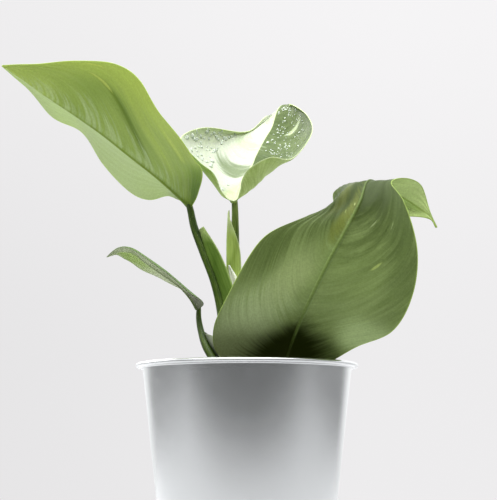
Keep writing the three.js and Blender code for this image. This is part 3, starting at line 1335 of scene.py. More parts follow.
@dataclass(frozen=True)
class SoilBed:
    """Potting mix that fills the pot, mounded round the stem, with bark and white grit on top."""

    height: float = 0.105
    mound: float = 0.0025
    roughness: float = 0.0016
    play: float = 0.0005
    side_top: float = 0.004
    side_foot: float = 0.003
    bottom: float = 0.0013
    fine_waves: tuple[tuple[float, ...], ...] = (
        (0.6, 910, 530, -690, 760),
        (0.35, 2100, -900, 1300, 1900),
    )
    chip_margin: float = 0.003
    chip_lift: float = 0.0002
    chip_tilt: float = 0.4
    chip_dents: tuple[float, float] = (0.7, 1.15)
    sides: int = 220
    rings: int = 90
    loose: tuple[Chips, ...] = (BARK, GRIT)
    pot: Pot = Pot()
    finish: PottingSoil = PottingSoil()

    def inner_radius(self, height: Array) -> Array:
        """The radius that the pot leaves at a height, less a little play."""
        slope = (self.pot.wall_top_radius() - self.pot.base_radius) / self.pot.height
        return self.pot.base_radius + slope * height - self.pot.wall - self.play

    def surface(self, x: Array, y: Array) -> Array:
        """The height of the top: a low mound plus crumbs, which die out at the wall.

        The crumbs are three crossed waves. The coarse one is sin(410 x + 3 sin 170 y) times
        sin(370 y + 2 sin 230 x), in metres; a finer one with the share w and the numbers
        a, b, c and d is w sin(a x + b y) sin(c x + d y).

        Args:
            x: Places to the right.
            y: Places to the back.

        Returns:
            The heights.
        """
        radius = np.hypot(x, y) / self.inner_radius(np.array(self.height))
        mound = self.mound * (1 - np.clip(radius, 0, 1) ** 2)
        crumbs = np.sin(410 * x + 3 * np.sin(170 * y)) * np.sin(370 * y + 2 * np.sin(230 * x))
        for share, a, b, c, d in self.fine_waves:
            crumbs = crumbs + share * np.sin(a * x + b * y) * np.sin(c * x + d * y)
        return self.height + mound + self.roughness * 0.5 * crumbs * (1 - radius**12)

    def bed(self) -> bpy.types.Object:
        """A loft from the middle of the top out to the wall, down, and in under the bottom.

        Returns:
            The bed as one object.
        """
        share = np.linspace(0.01, 1, self.rings)[:, None]
        turn = np.arange(self.sides) * tau / self.sides
        radius = share * self.inner_radius(np.array(self.height))
        height = self.surface(radius * np.cos(turn), radius * np.sin(turn))
        top = rings_about(radius, turn, height)
        depth = np.linspace(self.height - self.side_top, self.side_foot, 12)[:, None]
        wall_radius = self.inner_radius(depth)
        side = rings_about(wall_radius, turn, depth)
        under_radius = np.array([0.9, 0.5])[:, None] * wall_radius[-1]
        under = rings_about(under_radius, turn, self.bottom)
        return loft("soil_bed", np.concatenate([top, side, under]))

    def chips(self, kind: Chips) -> bpy.types.Object:
        """Uneven chips strewn over the surface, half sunk.

        Each is a small ball with its corners pushed in or out, turned to its own heading
        and tilted a little, with its own three half-sizes.

        Args:
            kind: Their number, sizes and seed.

        Returns:
            The chips as one object.
        """
        random = np.random.default_rng(kind.seed)
        count = kind.count
        corners, faces = ball(6, 3)
        shape = corners * random.uniform(*self.chip_dents, (count, len(corners), 1))
        reach = self.inner_radius(np.array(self.height)) - self.chip_margin
        radius = reach * np.sqrt(random.uniform(0.02, 1, count))
        turn = random.uniform(0, tau, count)
        x, y = radius * np.cos(turn), radius * np.sin(turn)
        centres = np.stack([x, y, self.surface(x, y) + self.chip_lift], axis=-1)
        heading = random.uniform(0, tau, count)
        tilt = random.uniform(-self.chip_tilt, self.chip_tilt, (count, 2))
        first = unit(np.stack([np.cos(heading), np.sin(heading), tilt[:, 0]], axis=-1))
        up = unit(np.stack([-tilt[:, 0] * np.cos(heading), tilt[:, 1], np.ones(count)], axis=-1))
        second = unit(np.cross(up, first))
        third = np.cross(first, second)
        sizes = random.uniform(kind.least, kind.greatest, (count, 3))
        axes = np.stack([first, second, third], axis=1)
        return scatter(kind.name, shape, faces, centres, axes, sizes)

    def build(self) -> None:
        """The bed, and then each kind of loose chip."""
        dress(self.bed(), self.finish.material(), "potting_soil", "soil")
        for kind in self.loose:
            dress(self.chips(kind), kind.finish.material(), "potting_soil")


@dataclass(frozen=True)
class Stem:
    """The short stock that all petioles grow from, ringed by the scars of older leaves.

    The outline gives the radius as a share of the widest at places from foot to top.
    """

    x: float = -0.006
    y: float = 0.001
    radius: float = 0.010
    top: float = 0.114
    foot: float = 0.084
    outline_places: tuple[float, ...] = (0.0, 0.0, 0.02, 0.4, 0.766, 0.93, 1.0, 1.0)
    outline_shares: tuple[float, ...] = (0.0, 0.6, 0.7, 0.97, 1.0, 0.85, 0.5, 0.02)
    scars: int = 5
    scar_width: float = 0.006
    scar_height: float = 0.045
    grain_run: float = 0.03
    sides: int = 96
    rings: int = 80
    skin: StalkSkin = StalkSkin(
        "stem_bark", (0.045, 0.060, 0.018), (0.16, 0.17, 0.06), (0.24, 0.19, 0.09), 0.7
    )

    def build(self) -> None:
        """The outline with a ring at each scar and shallow ribs, turned about the stem's axis.

        A scar raises the radius by its height times exp(-d^2 / width), where d is the way
        from its middle in steps of the scars' spacing. Fourteen straight ribs add 1.2% of
        the radius, and three that wind upwards add 2%.
        """
        radii = np.array(self.outline_shares) * self.radius
        heights = np.linspace(0.001, 1, self.rings)
        radius = np.interp(heights, self.outline_places, radii)[:, None]
        turn = np.arange(self.sides) * tau / self.sides
        scar = np.exp(-(((heights * self.scars) % 1 - 0.5) ** 2) / self.scar_width)[:, None]
        ribs = 0.012 * np.sin(14 * turn) + 0.02 * np.sin(3 * turn + 9 * heights[:, None])
        radius = radius * (1 + self.scar_height * scar + ribs)
        z = self.foot + (self.top - self.foot) * heights[:, None]
        rings = rings_about(radius, turn, z, self.x, self.y)
        values = stalk_values(turn, heights[:, None] * self.grain_run, scar, radius.shape)
        stock = loft("stem_stock", rings, values)
        dress(stock, self.skin.material(), "stem_skin", "stem")


@dataclass(frozen=True)
class Petiole:
    """A stalk along a route from its thin top to its thick foot, with two lengthwise ridges."""

    name: str
    route: Rail
    top_radius: float
    foot_radius: float
    skin: StalkSkin
    taper_power: float = 1.5
    sides: int = 40
    steps: int = 160
    ridge_turns: tuple[float, float] = (-0.6, 0.45)
    ridge_height: float = 0.07
    ridge_width: float = 0.24

    def build(self) -> None:
        """Carries a round section with two ridges along the route.

        Each ring stands across the route on the axes T x Y and its partner. The radius is
        foot - (foot - top)(1 - f)^p at the share f of the way down, and the top ends in
        half a ball, whose first ring keeps a fiftieth of the radius. A ridge raises the
        radius by its height times exp(-a^2 / 2w^2) at the angle a from its crest.
        """
        fine = np.linspace(0, 1, self.steps)
        centres = catmull_rom(self.route, fine)
        legs = np.linalg.norm(np.diff(centres, axis=0), axis=-1)
        run = np.concatenate([[0], np.cumsum(legs)])
        taper = (1 - run / run[-1]) ** self.taper_power
        radii = self.foot_radius - (self.foot_radius - self.top_radius) * taper
        tangents = unit(np.gradient(centres, axis=0))
        dome = np.linspace(0, pi / 2, 7)[:0:-1][:, None]
        cap = centres[:1] - tangents[:1] * self.top_radius * np.sin(dome)
        centres = np.concatenate([cap, centres])
        tangents = np.concatenate([np.repeat(tangents[:1], len(dome), axis=0), tangents])
        radii = np.concatenate([self.top_radius * np.maximum(np.cos(dome[:, 0]), 0.02), radii])
        run = np.concatenate([np.zeros(len(dome)), run])
        side = unit(np.cross(tangents, np.array([0.0, 1.0, 0.0])))
        front = np.cross(side, tangents)
        turn = np.arange(self.sides) * tau / self.sides
        bumps = sum(
            np.exp(-(((turn - ridge + pi) % tau - pi) ** 2) / (2 * self.ridge_width**2))
            for ridge in self.ridge_turns
        )
        section = radii[:, None] * (1 + self.ridge_height * (bumps - 0.5))
        rings = centres[:, None] + section[..., None] * (
            np.cos(turn)[:, None] * front[:, None] + np.sin(turn)[:, None] * side[:, None]
        )
        values = stalk_values(turn, run[:, None], bumps, section.shape)
        piece = loft(self.name + "_stalk", rings, values)
        dress(piece, self.skin.material(), "petiole_green", self.name)


@dataclass(frozen=True)
class Leaf:
    """One blade with its finish, and the node that it stands for."""

    node: str
    slot: str
    blade: LeafBlade
    skin: LeafSkin

    def build(self) -> None:
        """Builds and dresses the blade."""
        dress(self.blade.build(self.node + "_skin"), self.skin.material(), self.slot, self.node)


@dataclass(frozen=True)
class Sheath:
    """A channelled sheath or scale leaf with its finish."""

    node: str
    slot: str
    shell: Shell
    skin: SheathSkin

    def build(self) -> None:
        """Builds and dresses the sheath."""
        dress(self.shell.build(self.node + "_skin"), self.skin.material(), self.slot, self.node)


@dataclass(frozen=True)
class DropPatch:
    """A stretch of blade with drops on it, from low to high in t and s, and their radii."""

    low: tuple[float, float]
    high: tuple[float, float]
    count: int
    least: float
    greatest: float


@dataclass(frozen=True)
class WaterDrops:
    """Drops of water on the upper face of the middle leaf."""

    blade: LeafBlade
    seed: int = 5
    columns: int = 14
    rows: int = 7
    crown: float = 0.62
    sole: float = 0.12
    uneven: float = 0.15
    finish: Water = Water()
    patches: tuple[DropPatch, ...] = (
        DropPatch((0.42, -0.97), (0.70, -0.52), 60, 0.0007, 0.0015),
        DropPatch((0.50, 0.06), (0.82, 0.70), 130, 0.0004, 0.0008),
        DropPatch((0.53, 0.05), (0.55, 0.08), 1, 0.0011, 0.0012),
        DropPatch((0.44, -0.52), (0.46, -0.48), 1, 0.0015, 0.0016),
        DropPatch((0.40, -0.54), (0.42, -0.50), 1, 0.0015, 0.0016),
        DropPatch((0.62, -0.66), (0.65, -0.62), 1, 0.0013, 0.0014),
        DropPatch((0.18, -0.40), (0.25, -0.15), 3, 0.0007, 0.0010),
    )

    def build(self) -> None:
        """Flattened balls set on the surface, each turned to its normal.

        A drop's upper half is drawn down to the crown's share of its radius, and its lower
        half to the sole's. Small drops are the more common, by the square of an even draw.
        """
        random = np.random.default_rng(self.seed)
        places, sizes = [], []
        for patch in self.patches:
            low, high = np.array(patch.low), np.array(patch.high)
            places.append(random.uniform(low, high, (patch.count, 2)))
            share = random.uniform(0, 1, patch.count) ** 2
            sizes.append(patch.least + (patch.greatest - patch.least) * share)
        places = np.concatenate(places)
        sizes = np.concatenate(sizes)
        t, s = places[:, 0], places[:, 1]
        up = self.blade.sheet.normal(t, s)
        first = unit(np.cross(up, np.array([0.0, 0.0, 1.0])))
        second = np.cross(up, first)
        lift = self.blade.thickness / 2 + self.blade.relief(t, s, self.blade.vein(t, s))
        centres = self.blade.sheet.point(t, s) + up * lift[:, None]
        corners, faces = ball(self.columns, self.rows)
        corners[:, 2] *= np.where(corners[:, 2] > 0, self.crown, self.sole)
        oval = random.uniform(1 - self.uneven, 1 + self.uneven, len(sizes))
        stretch = np.stack([sizes, sizes * oval, sizes], axis=-1)
        axes = np.stack([first, second, up], axis=1)
        drops = scatter("water_drops", corners, faces, centres, axes, stretch)
        dress(drops, self.finish.material(), "leaf_variegated")


@dataclass(frozen=True)
class Lamp:
    """A square soft light: where it stands and points, its side, and its power in watts."""

    name: str
    place: Point
    aim: Point
    size: float
    power: float

    def build(self) -> None:
        """Adds the light to the scene."""
        data = bpy.data.lights.new(self.name, "AREA")
        data.size = self.size
        data.energy = self.power
        lamp = bpy.data.objects.new(self.name, data)
        lamp.location = self.place
        heading = Vector(self.aim) - Vector(self.place)
        lamp.rotation_euler = heading.to_track_quat("-Z", "Y").to_euler()
        bpy.context.scene.collection.objects.link(lamp)


@dataclass(frozen=True)
class Studio:
    """The pale floor, the soft light and the camera."""

    half_width: float = 0.85
    front: float = -0.345
    back: float = 1.1
    drop: float = 0.0002
    table_thickness: float = 0.02
    table_tones: tuple[Colour, Colour] = ((0.54, 0.54, 0.55), (0.58, 0.58, 0.59))
    room_colour: Colour = (0.98, 0.99, 1.0)
    backdrop_colour: Colour = (1.0, 0.99, 1.0)
    lamps: tuple[Lamp, ...] = (
        Lamp("overhead", (-0.1, -0.35, 1.3), (0.0, 0.0, 0.15), 1.6, 42.0),
        Lamp("behind_left", (-0.6, 0.7, 0.7), (-0.05, 0.0, 0.22), 0.5, 5.0),
    )
    camera_place: Point = (0.0009, -1.0, 0.0605)
    camera_lift: float = 7.21
    lens: float = 122.9
    sensor: float = 36.0

    def floor(self) -> None:
        """A thin pale table top, a little below the pot's underside."""
        x = np.array([-1.0, 1.0, 1.0, -1.0]) * self.half_width
        y = np.array([self.front, self.front, self.back, self.back])
        top = np.stack([x, y, np.full(4, -self.drop)], axis=-1)
        rings = np.stack([top, top - np.array([0.0, 0.0, self.table_thickness])])
        g = FinishGraph("pale_table", (0.8, 0.8, 0.8))
        colour = g.mix(g.noise(g.place(), 40.0, 3.0), *self.table_tones)
        table = loft("table_top", rings)
        table.data.materials.append(g.finish(g.surface(Base_Color=colour, Roughness=0.8)))

    def world(self) -> None:
        """A pale surround for the camera, and for the light a bright room, dark below in front.

        The room's light is one sum above the horizon and another below it. Both grow from
        front to back, and the upper one also grows with height.
        """
        world = bpy.data.worlds.new("soft_room")
        bpy.context.scene.world = world
        world.use_nodes = True
        g = Graph(world.node_tree)
        x, y, z = g.split(g.node("ShaderNodeTexCoord").outputs["Generated"])
        above = g.calc(Sum.ADD, g.span(y, -0.6, 0.6, 0.45, 1.5), g.span(z, 0.0, 1.0, 0.0, 0.6))
        below = g.span(y, 0.68, 0.86, 0.17, 1.2)
        level = g.span(z, -0.03, 0.03)
        upper = g.calc(Sum.TIMES, above, level)
        lower = g.calc(Sum.TIMES, below, g.calc(Sum.LESS, 1.0, level))
        room = g.background(self.room_colour, g.calc(Sum.ADD, upper, lower))
        # Painted shade on the camera's backdrop: darker to the left and lighter upwards.
        left_to_right = g.span(x, -0.2, 0.1, 0.79, 0.85)
        tone = g.calc(Sum.ADD, left_to_right, g.span(z, 0.05, 0.3, 0.0, 0.07))
        backdrop = g.background(self.backdrop_colour, tone)
        seen = g.node("ShaderNodeLightPath").outputs["Is Camera Ray"]
        both = g.blend(seen, room, backdrop)
        g.feed(g.node("ShaderNodeOutputWorld").inputs[0], both)

    def camera(self) -> None:
        """A long lens a metre in front of the pot, just above its middle, looking up a little."""
        data = bpy.data.cameras.new("camera")
        data.sensor_width = self.sensor
        data.lens = self.lens
        camera = bpy.data.objects.new("camera", data)
        camera.location = self.camera_place
        camera.rotation_euler = (radians(90 + self.camera_lift), 0.0, 0.0)
        bpy.context.scene.collection.objects.link(camera)
        bpy.context.scene.camera = camera

    def build(self) -> None:
        """Sets the stage."""
        bpy.context.scene.view_settings.view_transform = "Standard"
        self.floor()
        self.world()
        for lamp in self.lamps:
            lamp.build()
        self.camera()


# The plant's own sizes

# The bow at a place where a sheet runs straight from its middle to its margin
STRAIGHT = (0.0, 0.0, 0.0)

UPPER_LEFT_SHEET = Sheet(
    mid=(
        (-0.034, 0.002, 0.213), (-0.038, 0.001, 0.217), (-0.0445, 0.0, 0.223),
        (-0.0545, -0.002, 0.2315), (-0.0695, -0.004, 0.243), (-0.0855, -0.005, 0.2555),
        (-0.102, -0.006, 0.267), (-0.119, -0.005, 0.2785), (-0.1355, -0.003, 0.2905),
        (-0.1465, 0.0, 0.298),
    ),
    left=(
        (-0.0325, 0.0, 0.213), (-0.028, -0.016, 0.219), (-0.026, -0.038, 0.2285),
        (-0.032, -0.05, 0.236), (-0.0475, -0.053, 0.256), (-0.061, -0.048, 0.278),
        (-0.0775, -0.038, 0.291), (-0.0995, -0.027, 0.2945), (-0.1255, -0.013, 0.2965),
        (-0.1465, -0.0005, 0.2985),
    ),
    right=(
        (-0.0355, 0.004, 0.213), (-0.0395, 0.01, 0.218), (-0.0475, 0.026, 0.223),
        (-0.06, 0.04, 0.2235), (-0.0745, 0.048, 0.23), (-0.0895, 0.048, 0.2475),
        (-0.1035, 0.042, 0.266), (-0.1205, 0.03, 0.2742), (-0.1353, 0.014, 0.2892),
        (-0.147, 0.0005, 0.298),
    ),
    left_bow=(STRAIGHT, (0.0, 0.0, 0.004), STRAIGHT),
    right_bow=(STRAIGHT, (0.0, 0.0, 0.004), STRAIGHT),
)

CENTRE_SHEET = Sheet(
    mid=(
        (-0.008, -0.0018, 0.2156), (-0.0058, 0.003, 0.2235), (-0.0025, 0.009, 0.2315),
        (0.0025, 0.018, 0.24), (0.0055, 0.028, 0.249), (0.011, 0.04, 0.2615),
        (0.0155, 0.05, 0.271), (0.019, 0.058, 0.283), (0.023, 0.062, 0.287),
        (0.0265, 0.066, 0.2795),
    ),
    left=(
        (-0.011, -0.003, 0.2165), (-0.015, -0.014, 0.2205), (-0.02, -0.02, 0.23),
        (-0.0285, -0.018, 0.2375), (-0.0385, -0.01, 0.2485), (-0.0375, 0.006, 0.258),
        (-0.025, 0.022, 0.265), (-0.0005, 0.047, 0.2675), (0.0135, 0.06, 0.2805),
        (0.026, 0.066, 0.279),
    ),
    right=(
        (-0.0055, -0.0035, 0.2165), (-0.004, -0.012, 0.221), (-0.0025, -0.02, 0.2265),
        (0.003, -0.028, 0.2325), (0.0135, -0.032, 0.2365), (0.0265, -0.024, 0.238),
        (0.039, 0.004, 0.2575), (0.0365, 0.026, 0.2735), (0.0275, 0.047, 0.2845),
        (0.0265, 0.066, 0.279),
    ),
    left_bow=(
        (0.0, 0.0, 0.0), (-0.003, 0.004, -0.003), (-0.006, 0.005, -0.006),
        (-0.006, 0.006, -0.007), (-0.004, 0.007, -0.007), (-0.003, 0.008, -0.006),
        (-0.002, 0.007, -0.005), (-0.001, 0.004, -0.0025), (0.0, 0.001, -0.001),
        (0.0, 0.0, 0.0),
    ),
    right_bow=(
        (0.0, 0.0, 0.0), (0.004, 0.002, -0.002), (0.0085, 0.001, -0.0036),
        (0.0085, 0.001, -0.0054), (0.0085, 0.002, -0.0058), (0.005, 0.003, -0.004),
        (0.003, 0.004, -0.0025), (0.002, 0.002, 0.001), (0.0005, 0.001, 0.0005),
        (0.0, 0.0, 0.0),
    ),
)

FRONT_SHEET = Sheet(
    mid=(
        (0.0225, -0.008, 0.1215), (0.025, -0.024, 0.1295), (0.03, -0.042, 0.142),
        (0.0375, -0.053, 0.1575), (0.0465, -0.057, 0.1755), (0.0555, -0.057, 0.192),
        (0.0635, -0.052, 0.208), (0.0695, -0.038, 0.222), (0.082, -0.022, 0.2195),
        (0.094, -0.016, 0.214), (0.106, -0.013, 0.206), (0.111, -0.011, 0.199),
    ),
    left=(
        (0.0255, -0.0085, 0.121), (0.041, -0.018, 0.1175), (0.062, -0.03, 0.127),
        (0.082, -0.042, 0.136), (0.093, -0.049, 0.1555), (0.0955, -0.052, 0.18),
        (0.089, -0.048, 0.208), (0.0825, -0.042, 0.2205), (0.095, -0.028, 0.2245),
        (0.102, -0.02, 0.2215), (0.107, -0.014, 0.208), (0.1115, -0.011, 0.199),
    ),
    right=(
        (0.0195, -0.008, 0.121), (0.003, -0.012, 0.1165), (-0.016, -0.024, 0.1235),
        (-0.019, -0.038, 0.1365), (-0.0115, -0.05, 0.154), (0.0085, -0.058, 0.186),
        (0.0335, -0.055, 0.1985), (0.0475, -0.045, 0.2045), (0.052, -0.031, 0.2165),
        (0.0805, -0.017, 0.2055), (0.1045, -0.014, 0.204), (0.1105, -0.011, 0.1985),
    ),
    left_bow=(STRAIGHT, STRAIGHT),
    right_bow=(
        STRAIGHT, STRAIGHT, STRAIGHT, STRAIGHT, STRAIGHT,
        (0.0, 0.0, 0.001), STRAIGHT, (-0.003, -0.005, 0.0025),
        (-0.003, 0.002, 0.0045), (0.0, 0.004, 0.002), STRAIGHT, STRAIGHT,
    ),
)

LOW_LEFT_SHEET = Sheet(
    mid=(
        (-0.0295, 0.006, 0.1525), (-0.0335, 0.004, 0.159), (-0.04, 0.002, 0.166),
        (-0.0495, 0.0, 0.1726), (-0.059, -0.002, 0.179), (-0.0675, -0.002, 0.185),
        (-0.076, 0.0, 0.186), (-0.083, 0.002, 0.183),
    ),
    left=(
        (-0.028, 0.0045, 0.1525), (-0.0255, -0.006, 0.155), (-0.033, -0.016, 0.16),
        (-0.048, -0.022, 0.172), (-0.0585, -0.022, 0.1794), (-0.0675, -0.016, 0.1856),
        (-0.076, -0.008, 0.187), (-0.083, 0.0015, 0.183),
    ),
    right=(
        (-0.0305, 0.008, 0.153), (-0.034, 0.016, 0.1595), (-0.0405, 0.024, 0.1665),
        (-0.0525, 0.028, 0.173), (-0.0645, 0.026, 0.1788), (-0.0725, 0.018, 0.1834),
        (-0.078, 0.01, 0.1852), (-0.083, 0.0025, 0.183),
    ),
    left_bow=(STRAIGHT, (0.0, 0.0, 0.002), STRAIGHT),
    right_bow=(STRAIGHT, (0.0, 0.0, 0.002), STRAIGHT),
)

UPPER_LEFT_SHEATH = Sheet(
    mid=(
        (-0.011, -0.0028, 0.113), (-0.012, -0.002, 0.127), (-0.0132, -0.0014, 0.153),
        (-0.0176, -0.001, 0.1695), (-0.024, 0.0002, 0.186), (-0.028, 0.001, 0.1995),
    ),
    left=(
        (-0.008, 0.0012, 0.113), (-0.0086, 0.002, 0.127), (-0.0108, 0.0032, 0.153),
        (-0.014, 0.0062, 0.17), (-0.021, 0.008, 0.187), (-0.0265, 0.004, 0.2005),
    ),
    right=(
        (-0.003, -0.006, 0.113), (-0.004, -0.0065, 0.127), (-0.005, -0.005, 0.152),
        (-0.0095, -0.005, 0.169), (-0.0165, -0.004, 0.186), (-0.0256, 0.0, 0.201),
    ),
    left_bow=(
        (0.002, -0.001, 0.0), (0.002, -0.001, 0.0), (0.002, -0.001, 0.0),
        (0.0018, -0.0005, 0.0), (0.001, -0.001, 0.0), (0.0, -0.001, 0.0),
    ),
    right_bow=((0.0, -0.0015, 0.0), (0.0, -0.0005, 0.0)),
)

CENTRE_SHEATH = Sheet(
    mid=(
        (-0.0085, 0.0042, 0.118), (-0.0092, 0.005, 0.135), (-0.0096, 0.0052, 0.1575),
        (-0.0099, 0.0048, 0.1755), (-0.0099, 0.0034, 0.1905), (-0.0097, 0.0, 0.204),
    ),
    left=(
        (-0.0105, 0.009, 0.118), (-0.0113, 0.0095, 0.135), (-0.0116, 0.0095, 0.1585),
        (-0.0116, 0.009, 0.1765), (-0.0116, 0.0075, 0.1935), (-0.0105, 0.001, 0.211),
    ),
    right=(
        (-0.0025, 0.0032, 0.118), (-0.002, 0.005, 0.135), (-0.0027, 0.0069, 0.1575),
        (-0.0033, 0.0074, 0.175), (-0.0045, 0.0046, 0.1895), (-0.009, -0.0008, 0.2025),
    ),
    left_bow=((-0.001, -0.0005, 0.0), (-0.001, -0.0005, 0.0)),
    right_bow=(
        (0.0, -0.0018, 0.0), (0.0, -0.0018, 0.0), (0.0003, -0.0018, 0.0),
        (0.0003, -0.0016, 0.0), (0.0003, -0.0014, 0.0), (0.0, -0.0005, 0.0),
    ),
)

LOW_LEFT_SHEATH = Sheet(
    mid=(
        (-0.011, -0.008, 0.108), (-0.014, -0.006, 0.117), (-0.021, -0.002, 0.13),
        (-0.0245, 0.0015, 0.1375),
    ),
    left=(
        (-0.009, -0.003, 0.108), (-0.0145, -0.001, 0.118), (-0.022, 0.004, 0.1305),
        (-0.025, 0.005, 0.139),
    ),
    right=(
        (-0.008, -0.012, 0.108), (-0.011, -0.011, 0.116), (-0.017, -0.008, 0.126),
        (-0.02, -0.004, 0.136),
    ),
    left_bow=((0.0005, 0.0005, 0.0), (0.0005, 0.0005, 0.0)),
    right_bow=((0.0, -0.0015, 0.0), (0.0, -0.0005, 0.0)),
)

SCALE_LEAF = Sheet(
    mid=(
        (-0.0035, -0.001, 0.112), (-0.005, 0.0, 0.135), (-0.006, 0.0, 0.1575),
        (-0.008, 0.0, 0.1685), (-0.0105, 0.0, 0.178),
    ),
    left=(
        (-0.005, 0.0, 0.112), (-0.0065, 0.001, 0.135), (-0.0075, 0.001, 0.1575),
        (-0.01, 0.001, 0.1685), (-0.011, 0.0005, 0.1775),
    ),
    right=(
        (-0.002, -0.002, 0.112), (-0.0025, -0.0015, 0.135), (-0.0035, -0.001, 0.1575),
        (-0.0055, -0.001, 0.1695), (-0.01, 0.0, 0.1775),
    ),
    left_bow=((0.0, -0.0005, 0.0), (0.0, -0.0005, 0.0)),
    right_bow=((0.0, -0.001, 0.0), (0.0, -0.001, 0.0)),
)

UPPER_LEFT_ROUTE = (
    (-0.0343, 0.0015, 0.214), (-0.0333, 0.0025, 0.21), (-0.031, 0.003, 0.2),
    (-0.0255, 0.003, 0.186), (-0.0187, 0.003, 0.169), (-0.0145, 0.003, 0.152),
    (-0.0125, 0.003, 0.132), (-0.012, 0.003, 0.098),
)

CENTRE_ROUTE = (
    (-0.0073, 0.0008, 0.2158), (-0.0071, 0.0018, 0.211), (-0.007, 0.004, 0.202),
    (-0.007, 0.007, 0.191), (-0.0068, 0.009, 0.176), (-0.0064, 0.009, 0.15),
    (-0.004, 0.008, 0.125), (-0.003, 0.007, 0.098),
)

LOW_LEFT_ROUTE = (
    (-0.0285, 0.006, 0.154), (-0.0285, 0.006, 0.147), (-0.027, 0.004, 0.139),
    (-0.024, 0.0, 0.13), (-0.017, -0.004, 0.117), (-0.013, -0.006, 0.098),
)

FRONT_ROUTE = (
    (0.024, -0.009, 0.122), (0.02, -0.006, 0.121), (0.012, -0.004, 0.119),
    (0.004, -0.004, 0.112), (0.001, -0.005, 0.098),
)

PETIOLE_DARK = StalkSkin(
    "petiole_dark", (0.022, 0.048, 0.006), (0.075, 0.120, 0.015), (0.30, 0.34, 0.13)
)
PETIOLE_MID = StalkSkin(
    "petiole_mid", (0.060, 0.100, 0.014), (0.21, 0.28, 0.065), (0.40, 0.48, 0.18)
)

PETIOLES = (
    Petiole("petiole_upper_left", UPPER_LEFT_ROUTE, 0.0020, 0.0044, PETIOLE_DARK),
    Petiole("petiole_centre", CENTRE_ROUTE, 0.0019, 0.0042, PETIOLE_MID),
    Petiole("petiole_low_left", LOW_LEFT_ROUTE, 0.0014, 0.0032, PETIOLE_DARK),
    Petiole("petiole_front", FRONT_ROUTE, 0.0024, 0.0042, PETIOLE_DARK),
)

VEIN, ALONG = Follow.VEIN, Follow.ALONG

UPPER_LEFT_SKIN = LeafSkin(
    name="leaf_fresh",
    under_dark=(0.21, 0.300, 0.070),
    under_light=(0.34, 0.435, 0.130),
    over_dark=(0.075, 0.145, 0.025),
    over_light=(0.15, 0.255, 0.060),
    glow=(0.55, 0.66, 0.06),
    margin=(0.50, 0.64, 0.16),
    rib=(0.13, 0.20, 0.025),
    under_patches=(
        # Painted light: the left margin, half-way up, is a bright yellow-green for the light that
        # shines through it.
        Patch(ALONG, 0.62, -1.0, 0.32, 0.34, (0.54, 0.66, 0.14), 0.8, 0.6, 0.3),
        Patch(ALONG, 0.95, -0.2, 0.20, 0.80, (0.44, 0.54, 0.15), 0.8, 0.5, 0.4),
        Patch(VEIN, 0.22, -0.62, 0.06, 0.34, (0.42, 0.52, 0.12), 0.7, 0.5, 0.6),
        # Painted shade: a dark band along a vein on the left half, where the blade is creased.
        Patch(VEIN, 0.36, -0.36, 0.026, 0.24, (0.06, 0.115, 0.008), 0.85, 0.7, 0.3),
        Patch(ALONG, 0.10, -0.85, 0.14, 0.36, (0.075, 0.17, 0.008), 0.85, 0.5, 0.3),
        # Painted sheen: a pale, greyish tone over most of the right half.
        Patch(ALONG, 0.45, 0.64, 0.62, 0.72, (0.50, 0.60, 0.34), 0.82, 0.3, 0.5),
        Patch(ALONG, 0.02, 0.0, 0.08, 0.6, (0.11, 0.19, 0.020), 0.8, 0.6, 0.2),
        Patch(VEIN, 0.365, -0.61, 0.012, 0.07, (0.58, 0.64, 0.16), 0.8, 0.3, 0.7),
        Patch(VEIN, 0.215, -0.885, 0.018, 0.045, (0.60, 0.66, 0.16), 0.9, 0.3, 0.8),
        Patch(VEIN, -0.02, -0.73, 0.03, 0.06, (0.52, 0.62, 0.14), 0.85, 0.3, 0.9),
    ),
)

CENTRE_SKIN = LeafSkin(
    name="leaf_half_cream",
    under_dark=(0.32, 0.44, 0.11),
    under_light=(0.60, 0.72, 0.32),
    over_dark=(0.050, 0.080, 0.024),
    over_light=(0.135, 0.175, 0.075),
    glow=(0.55, 0.66, 0.10),
    margin=(0.70, 0.78, 0.48),
    rib=(0.30, 0.42, 0.12),
    cream=(0.58, 0.61, 0.53),
    halves=Halves.HALF_CREAM,
    glow_share=0.3,
    gloss=0.12,
    over_patches=(
        Patch(VEIN, 0.30, -0.20, 0.060, 0.26, (0.17, 0.215, 0.12), 0.92, 0.4, 0.5),
        Patch(ALONG, 0.64, -1.08, 0.20, 0.16, (0.38, 0.48, 0.25), 0.45, 0.6, 0.5),
        Patch(ALONG, 0.84, -0.12, 0.10, 0.16, (0.34, 0.43, 0.22), 0.6, 0.5, 0.5),
        Patch(ALONG, 0.04, -0.15, 0.13, 0.80, (0.55, 0.61, 0.40), 0.95, 0.2, 0.2),
        Patch(VEIN, 0.50, -0.25, 0.05, 0.20, (0.44, 0.52, 0.33), 0.6, 0.5, 1.2),
        Patch(VEIN, 0.611, 0.465, 0.012, 0.16, (0.50, 0.58, 0.36), 0.9, 0.4, 0.4),
        Patch(VEIN, 0.38, 0.60, 0.04, 0.35, (0.22, 0.27, 0.16), 0.5, 0.7, 0.8),
    ),
)

